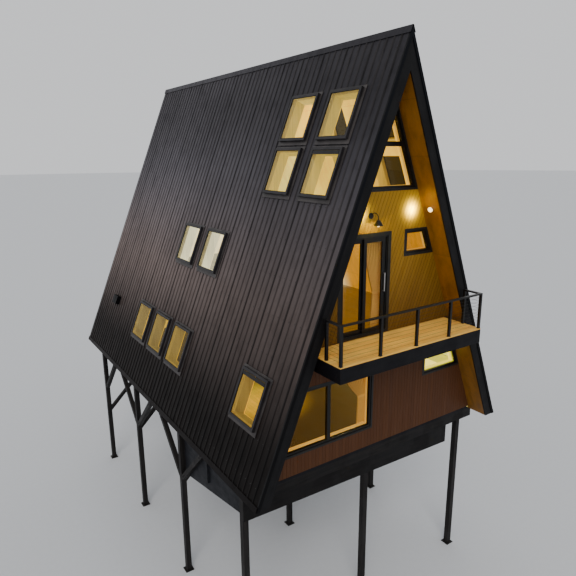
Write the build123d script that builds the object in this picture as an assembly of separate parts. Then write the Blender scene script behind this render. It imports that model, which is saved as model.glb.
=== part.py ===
from build123d import *
import math
import os

# A-frame cabin on tall legs, with a balcony before its front gable. Millimetres, +Z up.
# Each piece is written in the cabin's frame: x = 0 under the ridge, y = 0 at the face of the
# front rake and z = 0 at the roof's feet. X runs right as seen from the front, Y runs back.
# On export it moves to the part's frame, whose origin is under the middle of the whole cabin,
# at the level that its legs stand on.

# Roof
half_width = 4030
ridge_height = 9960
roof_length = 13600
metal_depth = 25
deck_depth = 280
lining_depth = 15
rake_board = 38
rib_pitch = 223
rib_height = 20
rib_base = 62
rib_top = 24
ridge_gap = 25
ridge_cap_sheet = 5
ridge_cap_leg = 165
ridge_cap_flat = 16
ridge_cap_overhang = 22
rake_trim_width = 75
rake_trim_thickness = 16
foot_trim_height = 125
foot_trim_sheet = 6

# Gable walls
front_overhang = 600
rear_overhang = 600
wall_thickness = 160
siding_bottom = 90

# Floors: the level of each top and the depth of its slab
platform_edge = 190
platform_depth = 300
platform_boards = 40
platform_inset = 40
platform_beam = 90
platform_joist = 45
platform_joist_bays = 16
ground_floor_top = 100
second_floor_top = 3100
second_floor_depth = 250
loft_floor_top = 6100
loft_floor_depth = 250

# Roof windows, all of one size: the middle of each, measured back from the front rake
# and up the slope from the roof's foot
skylight_width = 1000
skylight_height = 1080
skylight_frame = 65
skylight_rise = 110
skylight_glass = 30
skylight_glass_inset = 12
flashing_side = 70
flashing_top = 55
flashing_bottom = 100
flashing_thickness = 14
loft_row_backs = (1450, 3045)
loft_row_slopes = (7490, 8890)
middle_row_backs = (5395, 6995)
middle_row_slope = 5030
lower_row_backs = (1440, 5650, 7170, 8690)
lower_row_slope = 2030

# Windows in the gables. Depths are measured back from the outer face of the wall
window_casing = 55
window_sash = 55
casing_proud = 20
casing_back = 60
sash_back = 90
pane_front = 35
pane_back = 59
ground_window_bottom = 570
ground_window_head = 2200
ground_window_right = -220
ground_window_mullion = -1620
mullion_width = 100
side_window_left = 1550
side_window_bottom = 1550
upper_window_left = 650
upper_window_bottom = 4930
door_head = 5600
glazing_bottom = 6540
glazing_side = 63
glazing_bar_height = 7600
glazing_bar = 110

# Balcony door, two leaves that pass each other
door_width = 1620
door_corner_gap = 5
door_trim = 95
door_jamb = 35
door_jamb_back = 130
leaf_depth = 42
leaf_gap = 6
leaf_stile = 92
leaf_lock_stile = 120
leaf_rail = 105
leaf_overlap = 34
leaf_glass = 20
handle_length = 460
handle_height = 1270
handle_edge_gap = 45
handle_bar = 22
handle_reach = 45

# Balcony
balcony_side_gap = 157
balcony_projection = 593
balcony_fascia = 380
balcony_top = 3084
balcony_rim = 45
deck_board = 28
joist_bays = 4
guard_height = 914
guard_post = 60
guard_rail = 40
guard_bays = 4
guard_edge = 10
cable_size = 5
cable_count = 9
cable_sides = 6
rake_post_gap = 40

# Legs and braces
leg_drop = 5000
leg_size = 150
leg_edge = 90
leg_rows = 4
second_leg_row = 4750
last_leg_row_gap = 510
foot_plate = 260
foot_plate_thickness = 20
knee_brace = 130
knee_brace_run = 1550
cross_brace = 120
cross_brace_runs = (1650, 1650, 2550)

# Skirting hung under the platform, its lower edge following the slope
skirt_thickness = 40
skirt_face = 950
skirt_front_drop = 910
skirt_rear_drop = 1700
skirt_right_gap = 600
skirt_right_drop = 1100
skirt_stud = 80
skirt_stud_depth = 70
skirt_stud_drop = 1080

# Lamps and the vent
sconce_side = -470
sconce_height = 6000
sconce_plate_radius = 72
sconce_plate = 25
sconce_tube = 10
sconce_tube_sides = 8
sconce_rise = 75
sconce_reach = 270
sconce_drop = 75
sconce_shade_radius = 115
sconce_neck_radius = 34
sconce_shade_height = 125
sconce_shade_wall = 4
sconce_shade_sides = 28
soffit_lamp_height = 6070
soffit_lamp_back = 310
soffit_lamp_radius = 55
soffit_lamp_depth = 50
vent_back = 11600
vent_slope = 2150
vent_width = 420
vent_height = 300
vent_rise = 150
vent_mouth = 60
vent_wall = 12

# Curtains, each edge measured left from the right side of its opening
curtain_rod_radius = 12
curtain_rod_sides = 12
curtain_rod_back = 80
curtain_rod_end_gap = 65
curtain_rod_overrun = 130
curtain_thickness = 60
curtain_clearance = 0.3
rod_bracket = 30
door_rod_height = 5660
door_curtain_top = (680, 20)
door_curtain_tie = (330, 70)
door_curtain_tie_height = 4080
door_curtain_foot = (390, 50)
window_rod_height = 2300
window_curtain_top = (850, 10)
window_curtain_tie = (290, 30)
window_curtain_tie_height = 1420
window_curtain_foot = (330, 10)
curtain_floor_gap = 40

# Worked out from the sizes above
pitch = math.atan2(ridge_height, half_width)
roof_depth = metal_depth + deck_depth + lining_depth
slope_length = math.hypot(half_width, ridge_height)
front_wall_face = front_overhang
front_wall_back = front_overhang + wall_thickness
rear_wall_face = roof_length - rear_overhang
rear_wall_front = rear_wall_face - wall_thickness
platform_half_width = half_width - platform_edge
platform_front = front_wall_face + platform_inset
platform_rear = rear_wall_face - platform_inset
leg_side = platform_half_width - leg_edge
first_leg_row = skirt_face + skirt_thickness + leg_size / 2
leg_row_spacing = (platform_rear - last_leg_row_gap - second_leg_row) / (leg_rows - 2)
later_leg_rows = [second_leg_row + row * leg_row_spacing for row in range(leg_rows - 1)]
leg_row_places = [first_leg_row] + later_leg_rows
balcony_front = -balcony_projection
rear_end = roof_length + ridge_cap_overhang
to_part_frame = Pos(0, -(rear_end + balcony_front) / 2, leg_drop)


def half_at(height, depth=roof_depth):
    """Half the width between the roof's two slopes, at a height and a depth into the roof."""
    return half_width * (1 - height / ridge_height) - depth / math.sin(pitch)


def apex_at(depth):
    """Height at which the two slopes meet, at a depth into the roof."""
    return ridge_height - depth / math.cos(pitch)


door_left = door_corner_gap - half_at(door_head)
door_right = door_left + door_width
balcony_half_width = half_at(balcony_top) - balcony_side_gap


def block(x0, x1, y0, y1, z0, z1):
    """Box between two corners."""
    box = Box(x1 - x0, y1 - y0, z1 - z0, align=(Align.MIN, Align.MIN, Align.MIN))
    return Pos(x0, y0, z0) * box


def gable_plate(outline, y0, y1):
    """Plate with an outline of (x, z) points, from y0 back to y1."""
    edge = Polyline(*[(x, y0, z) for x, z in outline], close=True)
    return extrude(make_face(edge), amount=y1 - y0, dir=(0, 1, 0))


def side_plate(outline, x0, x1):
    """Plate with an outline of (y, z) points, from x0 across to x1."""
    edge = Polyline(*[(x0, y, z) for y, z in outline], close=True)
    return extrude(make_face(edge), amount=x1 - x0, dir=(1, 0, 0))


def mirrored(piece):
    """The same piece on the other side of the ridge."""
    return mirror(piece, about=Plane.YZ)


def both_sides(pieces):
    """Pieces of the left slope followed by the same pieces on the right."""
    return list(pieces) + [mirrored(piece) for piece in pieces]


def solids(pieces):
    """One node of several separate solids."""
    return Compound(children=list(pieces))


def slope_plane(back, up_slope):
    """Plane on the left roof slope: local X runs back, local Y up the slope, Z into the roof."""
    point = (-half_width + up_slope * math.cos(pitch), back, up_slope * math.sin(pitch))
    inwards = (math.sin(pitch), 0, -math.cos(pitch))
    return Plane(origin=point, x_dir=(0, 1, 0), z_dir=inwards)


def slope_block(back, up_slope, width, height, low, high):
    """Box on the left slope about a middle point, from low to high above the roof's face."""
    box = Pos(0, 0, -(low + high) / 2) * Box(width, height, high - low)
    return slope_plane(back, up_slope) * box


# Roof

def roof_band(shallow, deep, y0, y1):
    """Left half of a layer of the roof, between two depths."""
    outline = [
        (-half_at(0, shallow), 0),
        (0, apex_at(shallow)),
        (0, apex_at(deep)),
        (-half_at(0, deep), 0),
    ]
    return gable_plate(outline, y0, y1)


def skylight_places():
    """Middle of each roof window: how far back and how far up the slope."""
    loft = [(back, slope) for slope in loft_row_slopes for back in loft_row_backs]
    middle = [(back, middle_row_slope) for back in middle_row_backs]
    lower = [(back, lower_row_slope) for back in lower_row_backs]
    return loft + middle + lower


def skylight_holes(margin):
    """Cutters through the whole roof, wider than the glass by a margin on each side."""
    width = skylight_width + 2 * margin
    height = skylight_height + 2 * margin
    return [
        slope_block(back, slope, width, height, -2 * roof_depth, roof_depth)
        for back, slope in skylight_places()
    ]


def roof_deck():
    """Rafters, boards and insulation of the left slope, with a hole for each window."""
    band = roof_band(metal_depth, metal_depth + deck_depth, rake_board, roof_length - rake_board)
    return band - skylight_holes(0)


def rib_section():
    """Points of the sheet's section across its ribs: how far back, and the height."""
    low = rake_board
    high = roof_length - rake_board
    count = int((high - low) // rib_pitch)
    first = (low + high - (count - 1) * rib_pitch) / 2
    points = [(low, -metal_depth), (low, 0)]
    for rib in range(count):
        middle = first + rib * rib_pitch
        points.append((middle - rib_base / 2, 0))
        points.append((middle - rib_top / 2, rib_height))
        points.append((middle + rib_top / 2, rib_height))
        points.append((middle + rib_base / 2, 0))
    return points + [(high, 0), (high, -metal_depth)]


def roof_metal():
    """Ribbed sheet of the left slope, stopped short of the ridge and cut round the windows."""
    up_slope = (math.cos(pitch), 0, math.sin(pitch))
    below = (-half_width - roof_depth * up_slope[0], 0, -roof_depth * up_slope[2])
    across = Plane(origin=below, x_dir=(0, 1, 0), z_dir=up_slope)
    section = make_face(across * Polyline(*rib_section(), close=True))
    sheet = extrude(section, amount=slope_length + 2 * roof_depth, dir=up_slope)
    above_foot = block(-2 * half_width, -ridge_gap, 0, roof_length, 0, 2 * ridge_height)
    return (sheet & above_foot) - skylight_holes(skylight_frame)


def roof_lining():
    """Plywood under both slopes, from the front wall's face to the rear rake."""
    shallow = metal_depth + deck_depth
    band = roof_band(shallow, roof_depth, front_wall_face, roof_length - rake_board)
    side = band - skylight_holes(0)
    return side + mirrored(side)


def front_soffit():
    """Plywood under the front overhang of both slopes."""
    side = roof_band(metal_depth + deck_depth, roof_depth, rake_board, front_wall_face)
    return side + mirrored(side)


def front_rake():
    """Board that closes the left slope at the front."""
    return roof_band(0, roof_depth, 0, rake_board)


def rear_rake():
    """Board that closes the left slope at the rear."""
    return roof_band(0, roof_depth, roof_length - rake_board, roof_length)


def rake_trim(y0, y1):
    """Strip along the outer edge of both rakes, in one piece over the peak."""
    side = roof_band(0, rake_trim_width, y0, y1)
    return side + mirrored(side)


def rake_trims():
    """The strips on the front and rear rakes."""
    front = rake_trim(-rake_trim_thickness, 0)
    rear = rake_trim(roof_length, roof_length + rake_trim_thickness)
    return [front, rear]


def foot_trim():
    """Flat strip over the ends of the ribs at the left slope's foot."""
    inner = -rib_height
    outer = -rib_height - foot_trim_sheet
    outline = [
        (-half_at(0, inner), 0),
        (-half_at(foot_trim_height, inner), foot_trim_height),
        (-half_at(foot_trim_height, outer), foot_trim_height),
        (-half_at(0, outer), 0),
    ]
    return gable_plate(outline, 0, roof_length)


def ridge_cap():
    """Bent sheet on the rib tops over the ridge, with a narrow flat along its top."""
    inner = -rib_height
    outer = -rib_height - ridge_cap_sheet
    slope = math.tan(pitch)
    top = apex_at(outer) - ridge_cap_flat * slope
    ceiling = top - ridge_cap_sheet
    inner_flat = (apex_at(inner) - ceiling) / slope
    run = ridge_cap_leg * math.cos(pitch)
    foot = top - ridge_cap_leg * math.sin(pitch)
    left = [
        (-ridge_cap_flat, top),
        (-ridge_cap_flat - run, foot),
        (-half_at(foot, inner), foot),
        (-inner_flat, ceiling),
    ]
    right = [(-x, z) for x, z in reversed(left)]
    return gable_plate(left + right, -ridge_cap_overhang, rear_end)


def skylight_frames():
    """Raised frame round each window of the left slope, seated on the roof deck."""
    wide = skylight_width + 2 * skylight_frame
    high = skylight_height + 2 * skylight_frame
    frames = []
    for back, slope in skylight_places():
        outer = slope_block(back, slope, wide, high, -metal_depth, skylight_rise)
        inner = slope_block(back, slope, skylight_width, skylight_height, -roof_depth, 2 * skylight_rise)
        frames.append(outer - inner)
    return frames


def skylight_flashings():
    """Flat collar on the rib tops round each frame of the left slope, deepest below it."""
    frame_width = skylight_width + 2 * skylight_frame
    frame_height = skylight_height + 2 * skylight_frame
    wide = frame_width + 2 * flashing_side
    high = frame_height + flashing_top + flashing_bottom
    shift = (flashing_top - flashing_bottom) / 2
    top = rib_height + flashing_thickness
    collars = []
    for back, slope in skylight_places():
        outer = slope_block(back, slope + shift, wide, high, rib_height, top)
        inner = slope_block(back, slope, frame_width, frame_height, -roof_depth, 2 * skylight_rise)
        collars.append(outer - inner)
    return collars


def skylight_panes():
    """Pane of each window of the left slope, inside the top of its frame."""
    top = skylight_rise - skylight_glass_inset
    low = top - skylight_glass
    return [
        slope_block(back, slope, skylight_width, skylight_height, low, top)
        for back, slope in skylight_places()
    ]


def vent_hood():
    """Small hood on the left slope, open on its downhill side and seated on the rib tops."""
    top = rib_height + vent_rise
    shell = slope_block(vent_back, vent_slope, vent_width, vent_height, rib_height, top)
    inside = slope_block(
        vent_back,
        vent_slope - vent_wall - vent_mouth,
        vent_width - 2 * vent_wall,
        vent_height,
        rib_height + vent_wall,
        top - vent_wall,
    )
    return shell - inside


# Floors

def platform_joists():
    """Rim, middle girder, a beam over each row of legs, and the joists between the rims."""
    side = platform_half_width
    beam = platform_beam
    low = -platform_depth
    top = -platform_boards
    rear_rim = platform_rear - beam
    frame = block(-side, side, platform_front, platform_rear, low, top)
    frame -= block(-side + beam, side - beam, platform_front + beam, rear_rim, low, top)
    frame += block(-beam, beam, platform_front, platform_rear, low, top)
    frame += [block(-side, side, y - beam, y + beam, low, top) for y in leg_row_places]
    bay = (rear_rim - platform_front) / platform_joist_bays
    for joist in range(1, platform_joist_bays):
        near = platform_front + joist * bay
        frame += block(-side, side, near, near + platform_joist, low, top)
    return frame


def platform():
    """Boards over the platform's joists, with a raised sill under each gable wall."""
    side = platform_half_width
    reach = half_at(siding_bottom)
    boards = block(-side, side, platform_front, platform_rear, -platform_boards, 0)
    front_sill = block(-reach, reach, platform_front, front_wall_back, 0, siding_bottom)
    rear_sill = block(-reach, reach, rear_wall_front, platform_rear, 0, siding_bottom)
    return boards + front_sill + rear_sill


def floor_slab(top, depth):
    """Floor between the linings and the gable walls."""
    bottom = top - depth
    outline = [
        (-half_at(bottom), bottom),
        (half_at(bottom), bottom),
        (half_at(top), top),
        (-half_at(top), top),
    ]
    return gable_plate(outline, front_wall_back, rear_wall_front)


# Gable walls

def ground_wall(y0, y1):
    """Ground storey of a gable wall, with its two windows open to the roof's slopes."""
    outline = [
        (-half_at(siding_bottom), siding_bottom),
        (half_at(siding_bottom), siding_bottom),
        (half_at(side_window_bottom), side_window_bottom),
        (side_window_left, side_window_bottom),
        (side_window_left, ground_window_head),
        (half_at(ground_window_head), ground_window_head),
        (half_at(second_floor_top), second_floor_top),
        (-half_at(second_floor_top), second_floor_top),
        (-half_at(ground_window_head), ground_window_head),
        (ground_window_right, ground_window_head),
        (ground_window_right, ground_window_bottom),
        (-half_at(ground_window_bottom), ground_window_bottom),
    ]
    return gable_plate(outline, y0, y1)


def front_wall_left():
    """Wedge of wall between the left slope and the balcony door."""
    outline = [
        (-half_at(second_floor_top), second_floor_top),
        (door_left, second_floor_top),
        (door_left, door_head),
        (-half_at(door_head), door_head),
    ]
    return gable_plate(outline, front_wall_face, front_wall_back)


def front_wall_right():
    """Wall between the balcony door and the right slope, stepped under its window."""
    outline = [
        (door_right, second_floor_top),
        (half_at(second_floor_top), second_floor_top),
        (half_at(upper_window_bottom), upper_window_bottom),
        (upper_window_left, upper_window_bottom),
        (upper_window_left, door_head),
        (door_right, door_head),
    ]
    return gable_plate(outline, front_wall_face, front_wall_back)


def front_wall_head():
    """Band of wall from the door's head to the glazing in the peak."""
    outline = [
        (-half_at(door_head), door_head),
        (half_at(door_head), door_head),
        (half_at(glazing_bottom), glazing_bottom),
        (-half_at(glazing_bottom), glazing_bottom),
    ]
    return gable_plate(outline, front_wall_face, front_wall_back)


def rear_wall_upper():
    """Second storey of the rear wall, with a small window at each slope."""
    outline = [
        (-half_at(second_floor_top), second_floor_top),
        (half_at(second_floor_top), second_floor_top),
        (half_at(upper_window_bottom), upper_window_bottom),
        (upper_window_left, upper_window_bottom),
        (upper_window_left, door_head),
        (half_at(door_head), door_head),
        (half_at(glazing_bottom), glazing_bottom),
        (-half_at(glazing_bottom), glazing_bottom),
        (-half_at(door_head), door_head),
        (-upper_window_left, door_head),
        (-upper_window_left, upper_window_bottom),
        (-half_at(upper_window_bottom), upper_window_bottom),
    ]
    return gable_plate(outline, rear_wall_front, rear_wall_face)


# Windows in the gables

def gable_span(front, near, far):
    """Span in Y between two depths behind the outer face of the front or the rear wall."""
    if front:
        return front_wall_face + near, front_wall_face + far
    return rear_wall_face - far, rear_wall_face - near


def ring(outer, inner, span):
    """Frame between two outlines."""
    return gable_plate(outer, *span) - gable_plate(inner, *span)


def side_light_outline(left, bottom, top, margin):
    """Window against the right slope, drawn in from its edges by a margin."""
    lean = margin / math.sin(pitch)
    low = bottom + margin
    high = top - margin
    return [
        (left + margin, low),
        (half_at(low) - lean, low),
        (half_at(high) - lean, high),
        (left + margin, high),
    ]


def side_light(left, bottom, top, front):
    """Casing, sash and pane of a window against the right slope."""
    edge = side_light_outline(left, bottom, top, 0)
    rebate = side_light_outline(left, bottom, top, window_casing)
    sight = side_light_outline(left, bottom, top, window_casing + window_sash)
    casing = ring(edge, rebate, gable_span(front, -casing_proud, casing_back))
    sash = ring(rebate, sight, gable_span(front, 0, sash_back))
    pane = gable_plate(sight, *gable_span(front, pane_front, pane_back))
    return casing, sash, pane


def wide_window(front):
    """Casing, sash with its mullion, and the two panes of the window at the left slope."""
    left = -ground_window_right
    casing, sash, pane = side_light(left, ground_window_bottom, ground_window_head, front)
    middle = -ground_window_mullion
    half_bar = mullion_width / 2
    low = ground_window_bottom + window_casing
    high = ground_window_head - window_casing
    bar = block(middle - half_bar, middle + half_bar, *gable_span(front, 0, sash_back), low, high)
    panes = (pane - bar).solids()
    return mirrored(casing), mirrored(sash + bar), [mirrored(piece) for piece in panes]


def peak_outline(margin, bottom, top):
    """Part of the glazed peak between two heights, drawn in from the slopes by a margin."""
    depth = roof_depth + margin
    peak = apex_at(depth)
    if top >= peak:
        return [(-half_at(bottom, depth), bottom), (half_at(bottom, depth), bottom), (0, peak)]
    return [
        (-half_at(bottom, depth), bottom),
        (half_at(bottom, depth), bottom),
        (half_at(top, depth), top),
        (-half_at(top, depth), top),
    ]


def peak_glazing(front):
    """Casing, sash with its bar, and the two panes that fill the peak of a gable."""
    low = glazing_bottom + window_casing
    margin = window_casing + glazing_side
    edge = peak_outline(0, glazing_bottom, ridge_height)
    rebate = peak_outline(window_casing, low, ridge_height)
    lower = peak_outline(margin, low + window_sash, glazing_bar_height - glazing_bar / 2)
    upper = peak_outline(margin, glazing_bar_height + glazing_bar / 2, ridge_height)
    casing = ring(edge, rebate, gable_span(front, -casing_proud, casing_back))
    sash_span = gable_span(front, 0, sash_back)
    sash = ring(rebate, lower, sash_span) - gable_plate(upper, *sash_span)
    pane_span = gable_span(front, pane_front, pane_back)
    return casing, sash, [gable_plate(outline, *pane_span) for outline in (lower, upper)]


def gable_windows(front):
    """Casings, sashes and panes of every window in a gable, front or rear."""
    wide_casing, wide_sash, panes = wide_window(front)
    side = side_light(side_window_left, side_window_bottom, ground_window_head, front)
    upper = side_light(upper_window_left, upper_window_bottom, door_head, front)
    peak_casing, peak_sash, peak_panes = peak_glazing(front)
    casings = [wide_casing, side[0], upper[0], peak_casing]
    sashes = [wide_sash, side[1], upper[1], peak_sash]
    panes = panes + [side[2], upper[2]] + peak_panes
    if not front:
        casings.append(mirrored(upper[0]))
        sashes.append(mirrored(upper[1]))
        panes.append(mirrored(upper[2]))
    return casings, sashes, panes


# Balcony door

def door_edges(inset):
    """Left, right, bottom and top of the door drawn in by an inset, by half of it at the sill."""
    return door_left + inset, door_right - inset, second_floor_top + inset / 2, door_head - inset


def door_box(inset, y0, y1):
    """Box over the door, drawn in from its edges by an inset."""
    left, right, bottom, top = door_edges(inset)
    return block(left, right, y0, y1, bottom, top)


def door_casing():
    """Trim round the door on the wall's face."""
    span = gable_span(True, -casing_proud, casing_back)
    return door_box(0, *span) - door_box(door_trim, *span)


def patio_door_frame():
    """Jambs, head and sill that hold both leaves."""
    span = gable_span(True, 0, door_jamb_back)
    return door_box(door_trim, *span) - door_box(door_trim + door_jamb, *span)


def door_leaves():
    """Fixed and sliding leaf: left, right, nearest y, and the width of each stile."""
    left, right, bottom, top = door_edges(door_trim + door_jamb)
    half_overlap = leaf_overlap / 2
    meeting = (left + right) / 2
    far_face = front_wall_face + (door_jamb_back + leaf_gap) / 2
    near_face = far_face - leaf_gap - leaf_depth
    fixed = (left, meeting + half_overlap, far_face, leaf_stile, leaf_stile)
    sliding = (meeting - half_overlap, right, near_face, leaf_stile, leaf_lock_stile)
    return fixed, sliding


def leaf_light(leaf, near, depth):
    """Box over a leaf's glass."""
    low = door_edges(door_trim + door_jamb)[2] + leaf_rail
    high = door_edges(door_trim + door_jamb)[3] - leaf_rail
    return block(leaf[0] + leaf[3], leaf[1] - leaf[4], near, near + depth, low, high)


def patio_door_sashes():
    """The frames of the two leaves, one behind the other."""
    low, high = door_edges(door_trim + door_jamb)[2:]
    return [
        block(leaf[0], leaf[1], leaf[2], leaf[2] + leaf_depth, low, high)
        - leaf_light(leaf, leaf[2], leaf_depth)
        for leaf in door_leaves()
    ]


def patio_door_panes():
    """Glass of the two leaves, in the middle of their depth."""
    inset = (leaf_depth - leaf_glass) / 2
    return [leaf_light(leaf, leaf[2] + inset, leaf_glass) for leaf in door_leaves()]


def patio_door_handle():
    """Pull bar on the sliding leaf's lock stile."""
    slider = door_leaves()[1]
    x = slider[1] - handle_edge_gap
    face = slider[2]
    near = face - handle_reach
    low = second_floor_top + handle_height - handle_length / 2
    high = low + handle_length
    half = handle_bar / 2
    grip = block(x - half, x + half, near, near + handle_bar, low, high)
    lower = block(x - half, x + half, near, face, low, low + handle_bar)
    upper = block(x - half, x + half, near, face, high - handle_bar, high)
    return grip + lower + upper


# Balcony

def balcony_frame():
    """Rim on three sides, and joists back to the wall."""
    side = balcony_half_width
    low = balcony_top - balcony_fascia
    high = balcony_top - deck_board
    frame = block(-side, side, balcony_front, balcony_front + balcony_rim, low, high)
    bay = (2 * side - balcony_rim) / joist_bays
    for joist in range(joist_bays + 1):
        left = -side + joist * bay
        frame += block(left, left + balcony_rim, balcony_front, front_wall_face, low, high)
    return frame


def balcony_deck():
    """Boards over the balcony's joists."""
    side = balcony_half_width
    return block(-side, side, balcony_front, front_wall_face, balcony_top - deck_board, balcony_top)


def cable(start, end, height, along_x, place):
    """Guard cable at a height, from start to end along X or Y."""
    section = RegularPolygon(cable_size / 2, cable_sides)
    if along_x:
        return extrude(Plane(origin=(start, place, height), z_dir=(1, 0, 0)) * section, amount=end - start)
    return extrude(Plane(origin=(place, start, height), z_dir=(0, 1, 0)) * section, amount=end - start)


def cable_heights():
    """Height of each guard cable."""
    step = (guard_height - guard_rail) / (cable_count + 1)
    return [balcony_top + step * (number + 1) for number in range(cable_count)]


def guard_line():
    """Middle of the front guard in Y, and of a side guard in X."""
    inset = guard_edge + guard_post / 2
    return balcony_front + inset, balcony_half_width - inset


def front_guard():
    """Posts, top rail and cables along the balcony's front."""
    middle, side = guard_line()
    half = guard_post / 2
    rail_low = balcony_top + guard_height - guard_rail
    guard = block(-side - half, side + half, middle - half, middle + half, rail_low, rail_low + guard_rail)
    for post in range(guard_bays + 1):
        x = -side + post * 2 * side / guard_bays
        guard += block(x - half, x + half, middle - half, middle + half, balcony_top, rail_low)
    guard += [cable(-side, side, height, True, middle) for height in cable_heights()]
    return guard


def side_guard():
    """Return of the guard on the left, from the corner post back to a post before the rake."""
    middle, side = guard_line()
    half = guard_post / 2
    corner = middle + half
    end = -rake_post_gap
    rail_low = balcony_top + guard_height - guard_rail
    guard = block(-side - half, -side + half, corner, end, rail_low, rail_low + guard_rail)
    guard += block(-side - half, -side + half, end - guard_post, end, balcony_top, rail_low)
    guard += [cable(corner, end - half, height, False, -side) for height in cable_heights()]
    return guard


# Legs, braces and skirting

def leg(x, y):
    """One leg on its foot plate."""
    half = leg_size / 2
    half_plate = foot_plate / 2
    plate_top = foot_plate_thickness - leg_drop
    post = block(x - half, x + half, y - half, y + half, -leg_drop, -platform_depth)
    plate = block(x - half_plate, x + half_plate, y - half_plate, y + half_plate, -leg_drop, plate_top)
    return post + plate


def legs():
    """Three lines of legs, each from front to back."""
    return [leg(x, y) for x in (-leg_side, 0, leg_side) for y in leg_row_places]


def brace_outline(start, direction, run, size):
    """Outline of a brace at 45 degrees, from a leg's face up to the platform."""
    across = size * math.sqrt(2)
    high = -platform_depth
    return [
        (start, high - run),
        (start + direction * run, high),
        (start + direction * (run - across), high),
        (start, high - run + across),
    ]


def knee_braces():
    """Braces in line with the cabin, from the left row's legs behind the skirting."""
    half = leg_size / 2
    half_brace = knee_brace / 2
    places = [(y, -1) for y in later_leg_rows] + [(y, 1) for y in later_leg_rows[:-1]]
    braces = []
    for y, direction in places:
        outline = brace_outline(y + direction * half, direction, knee_brace_run, knee_brace)
        braces.append(side_plate(outline, -leg_side - half_brace, -leg_side + half_brace))
    return braces


def cross_braces():
    """Braces across the cabin, inwards from the left row behind the skirting."""
    half_brace = cross_brace / 2
    braces = []
    for y, run in zip(later_leg_rows, cross_brace_runs):
        outline = brace_outline(-leg_side + leg_size / 2, 1, run, cross_brace)
        braces.append(gable_plate(outline, y - half_brace, y + half_brace))
    return braces


def left_skirt():
    """Skirting inside the left legs, from the front to the second row, with one stud."""
    front = skirt_face + skirt_thickness
    rear = second_leg_row + leg_size / 2
    top = -platform_depth
    outline = [(front, top), (rear, top), (rear, -skirt_rear_drop), (front, -skirt_front_drop)]
    outer = -leg_side + leg_size / 2
    panel = side_plate(outline, outer, outer + skirt_thickness)
    brace_end = second_leg_row - leg_size / 2 - knee_brace_run
    stud = block(outer - skirt_stud_depth, outer, brace_end - skirt_stud, brace_end, -skirt_stud_drop, top)
    return panel + stud


def front_skirt():
    """Skirting before the front legs."""
    left = -leg_side - leg_size / 2
    right = leg_side - skirt_right_gap
    outline = [
        (left, -platform_depth),
        (right, -platform_depth),
        (right, -skirt_right_drop),
        (left, -skirt_front_drop),
    ]
    return gable_plate(outline, skirt_face, skirt_face + skirt_thickness)


# Lamps

def sconce_shade_place():
    """Middle of the shade's top: side, distance back and height."""
    return sconce_side, front_wall_face - sconce_reach, sconce_height - sconce_drop


def sconce_arm():
    """Wall plate and bent tube of the lamp over the balcony door."""
    plate_face = front_wall_face - sconce_plate
    turn = Plane(origin=(sconce_side, plate_face, sconce_height), z_dir=(0, -1, 0))
    plate = extrude(turn * Circle(sconce_plate_radius), amount=-sconce_plate)
    x, y, z = sconce_shade_place()
    start = Vector(sconce_side, plate_face, sconce_height)
    crown = Vector(sconce_side, (plate_face + y) / 2, sconce_height + sconce_rise)
    route = ThreePointArc(start, crown, Vector(x, y, z))
    section = RegularPolygon(sconce_tube, sconce_tube_sides)
    tube = sweep(Plane(origin=start, z_dir=route % 0) * section, path=route)
    neck = 2 * sconce_neck_radius
    below = Pos(x, y, z) * Box(neck, neck, neck, align=(Align.CENTER, Align.CENTER, Align.MAX))
    return plate + tube - below


def shade_ring(radius, height):
    """Corners of the shade at one height, evenly round its axis."""
    turns = [2 * math.pi * step / sconce_shade_sides for step in range(sconce_shade_sides)]
    return [Vector(radius * math.cos(turn), radius * math.sin(turn), height) for turn in turns]


def shade_cone(neck, mouth, top):
    """Cone of flat panels, from its neck at a height down to its mouth."""
    upper = shade_ring(neck, top)
    lower = shade_ring(mouth, -sconce_shade_height)
    after_upper = upper[1:] + upper[:1]
    after_lower = lower[1:] + lower[:1]
    corners = [upper, lower] + list(zip(upper, after_upper, after_lower, lower))
    return Solid(Shell([Face(Wire.make_polygon(corner)) for corner in corners]))


def sconce_shade():
    """Open cone under the end of the lamp's tube."""
    wall = sconce_shade_wall
    outside = shade_cone(sconce_neck_radius, sconce_shade_radius, 0)
    inside = shade_cone(sconce_neck_radius - wall, sconce_shade_radius - wall, -wall)
    return Pos(*sconce_shade_place()) * (outside - inside)


def soffit_lamp():
    """Round lamp on the left slope's soffit."""
    point = (-half_at(soffit_lamp_height), soffit_lamp_back, soffit_lamp_height)
    inwards = (math.sin(pitch), 0, -math.cos(pitch))
    return extrude(Plane(origin=point, z_dir=inwards) * Circle(soffit_lamp_radius), amount=soffit_lamp_depth)


# Curtains

def curtain_rod(opening_right, height):
    """Rod on two brackets inside the front wall, from the left slope past an opening."""
    rod_y = front_wall_back + curtain_rod_back
    left = curtain_rod_end_gap - half_at(height)
    right = opening_right + curtain_rod_overrun
    route = Plane(origin=(left, rod_y, height), z_dir=(1, 0, 0))
    rod = extrude(route * RegularPolygon(curtain_rod_radius, curtain_rod_sides), amount=right - left)
    half = rod_bracket / 2
    for x in (left + rod_bracket, right - rod_bracket):
        rod += block(x - half, x + half, front_wall_back, rod_y, height - half, height + half)
    return rod


def curtain(opening_right, rod_height, top, tie, tie_height, foot, floor_top):
    """Curtain drawn in by a tie, hung just under its rod."""
    high = rod_height - curtain_rod_radius - curtain_clearance
    low = floor_top + curtain_floor_gap
    middle = front_wall_back + curtain_rod_back
    outline = [
        (opening_right - top[0], high),
        (opening_right - tie[0], tie_height),
        (opening_right - foot[0], low),
        (opening_right - foot[1], low),
        (opening_right - tie[1], tie_height),
        (opening_right - top[1], high),
    ]
    return gable_plate(outline, middle - curtain_thickness / 2, middle + curtain_thickness / 2)


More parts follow.
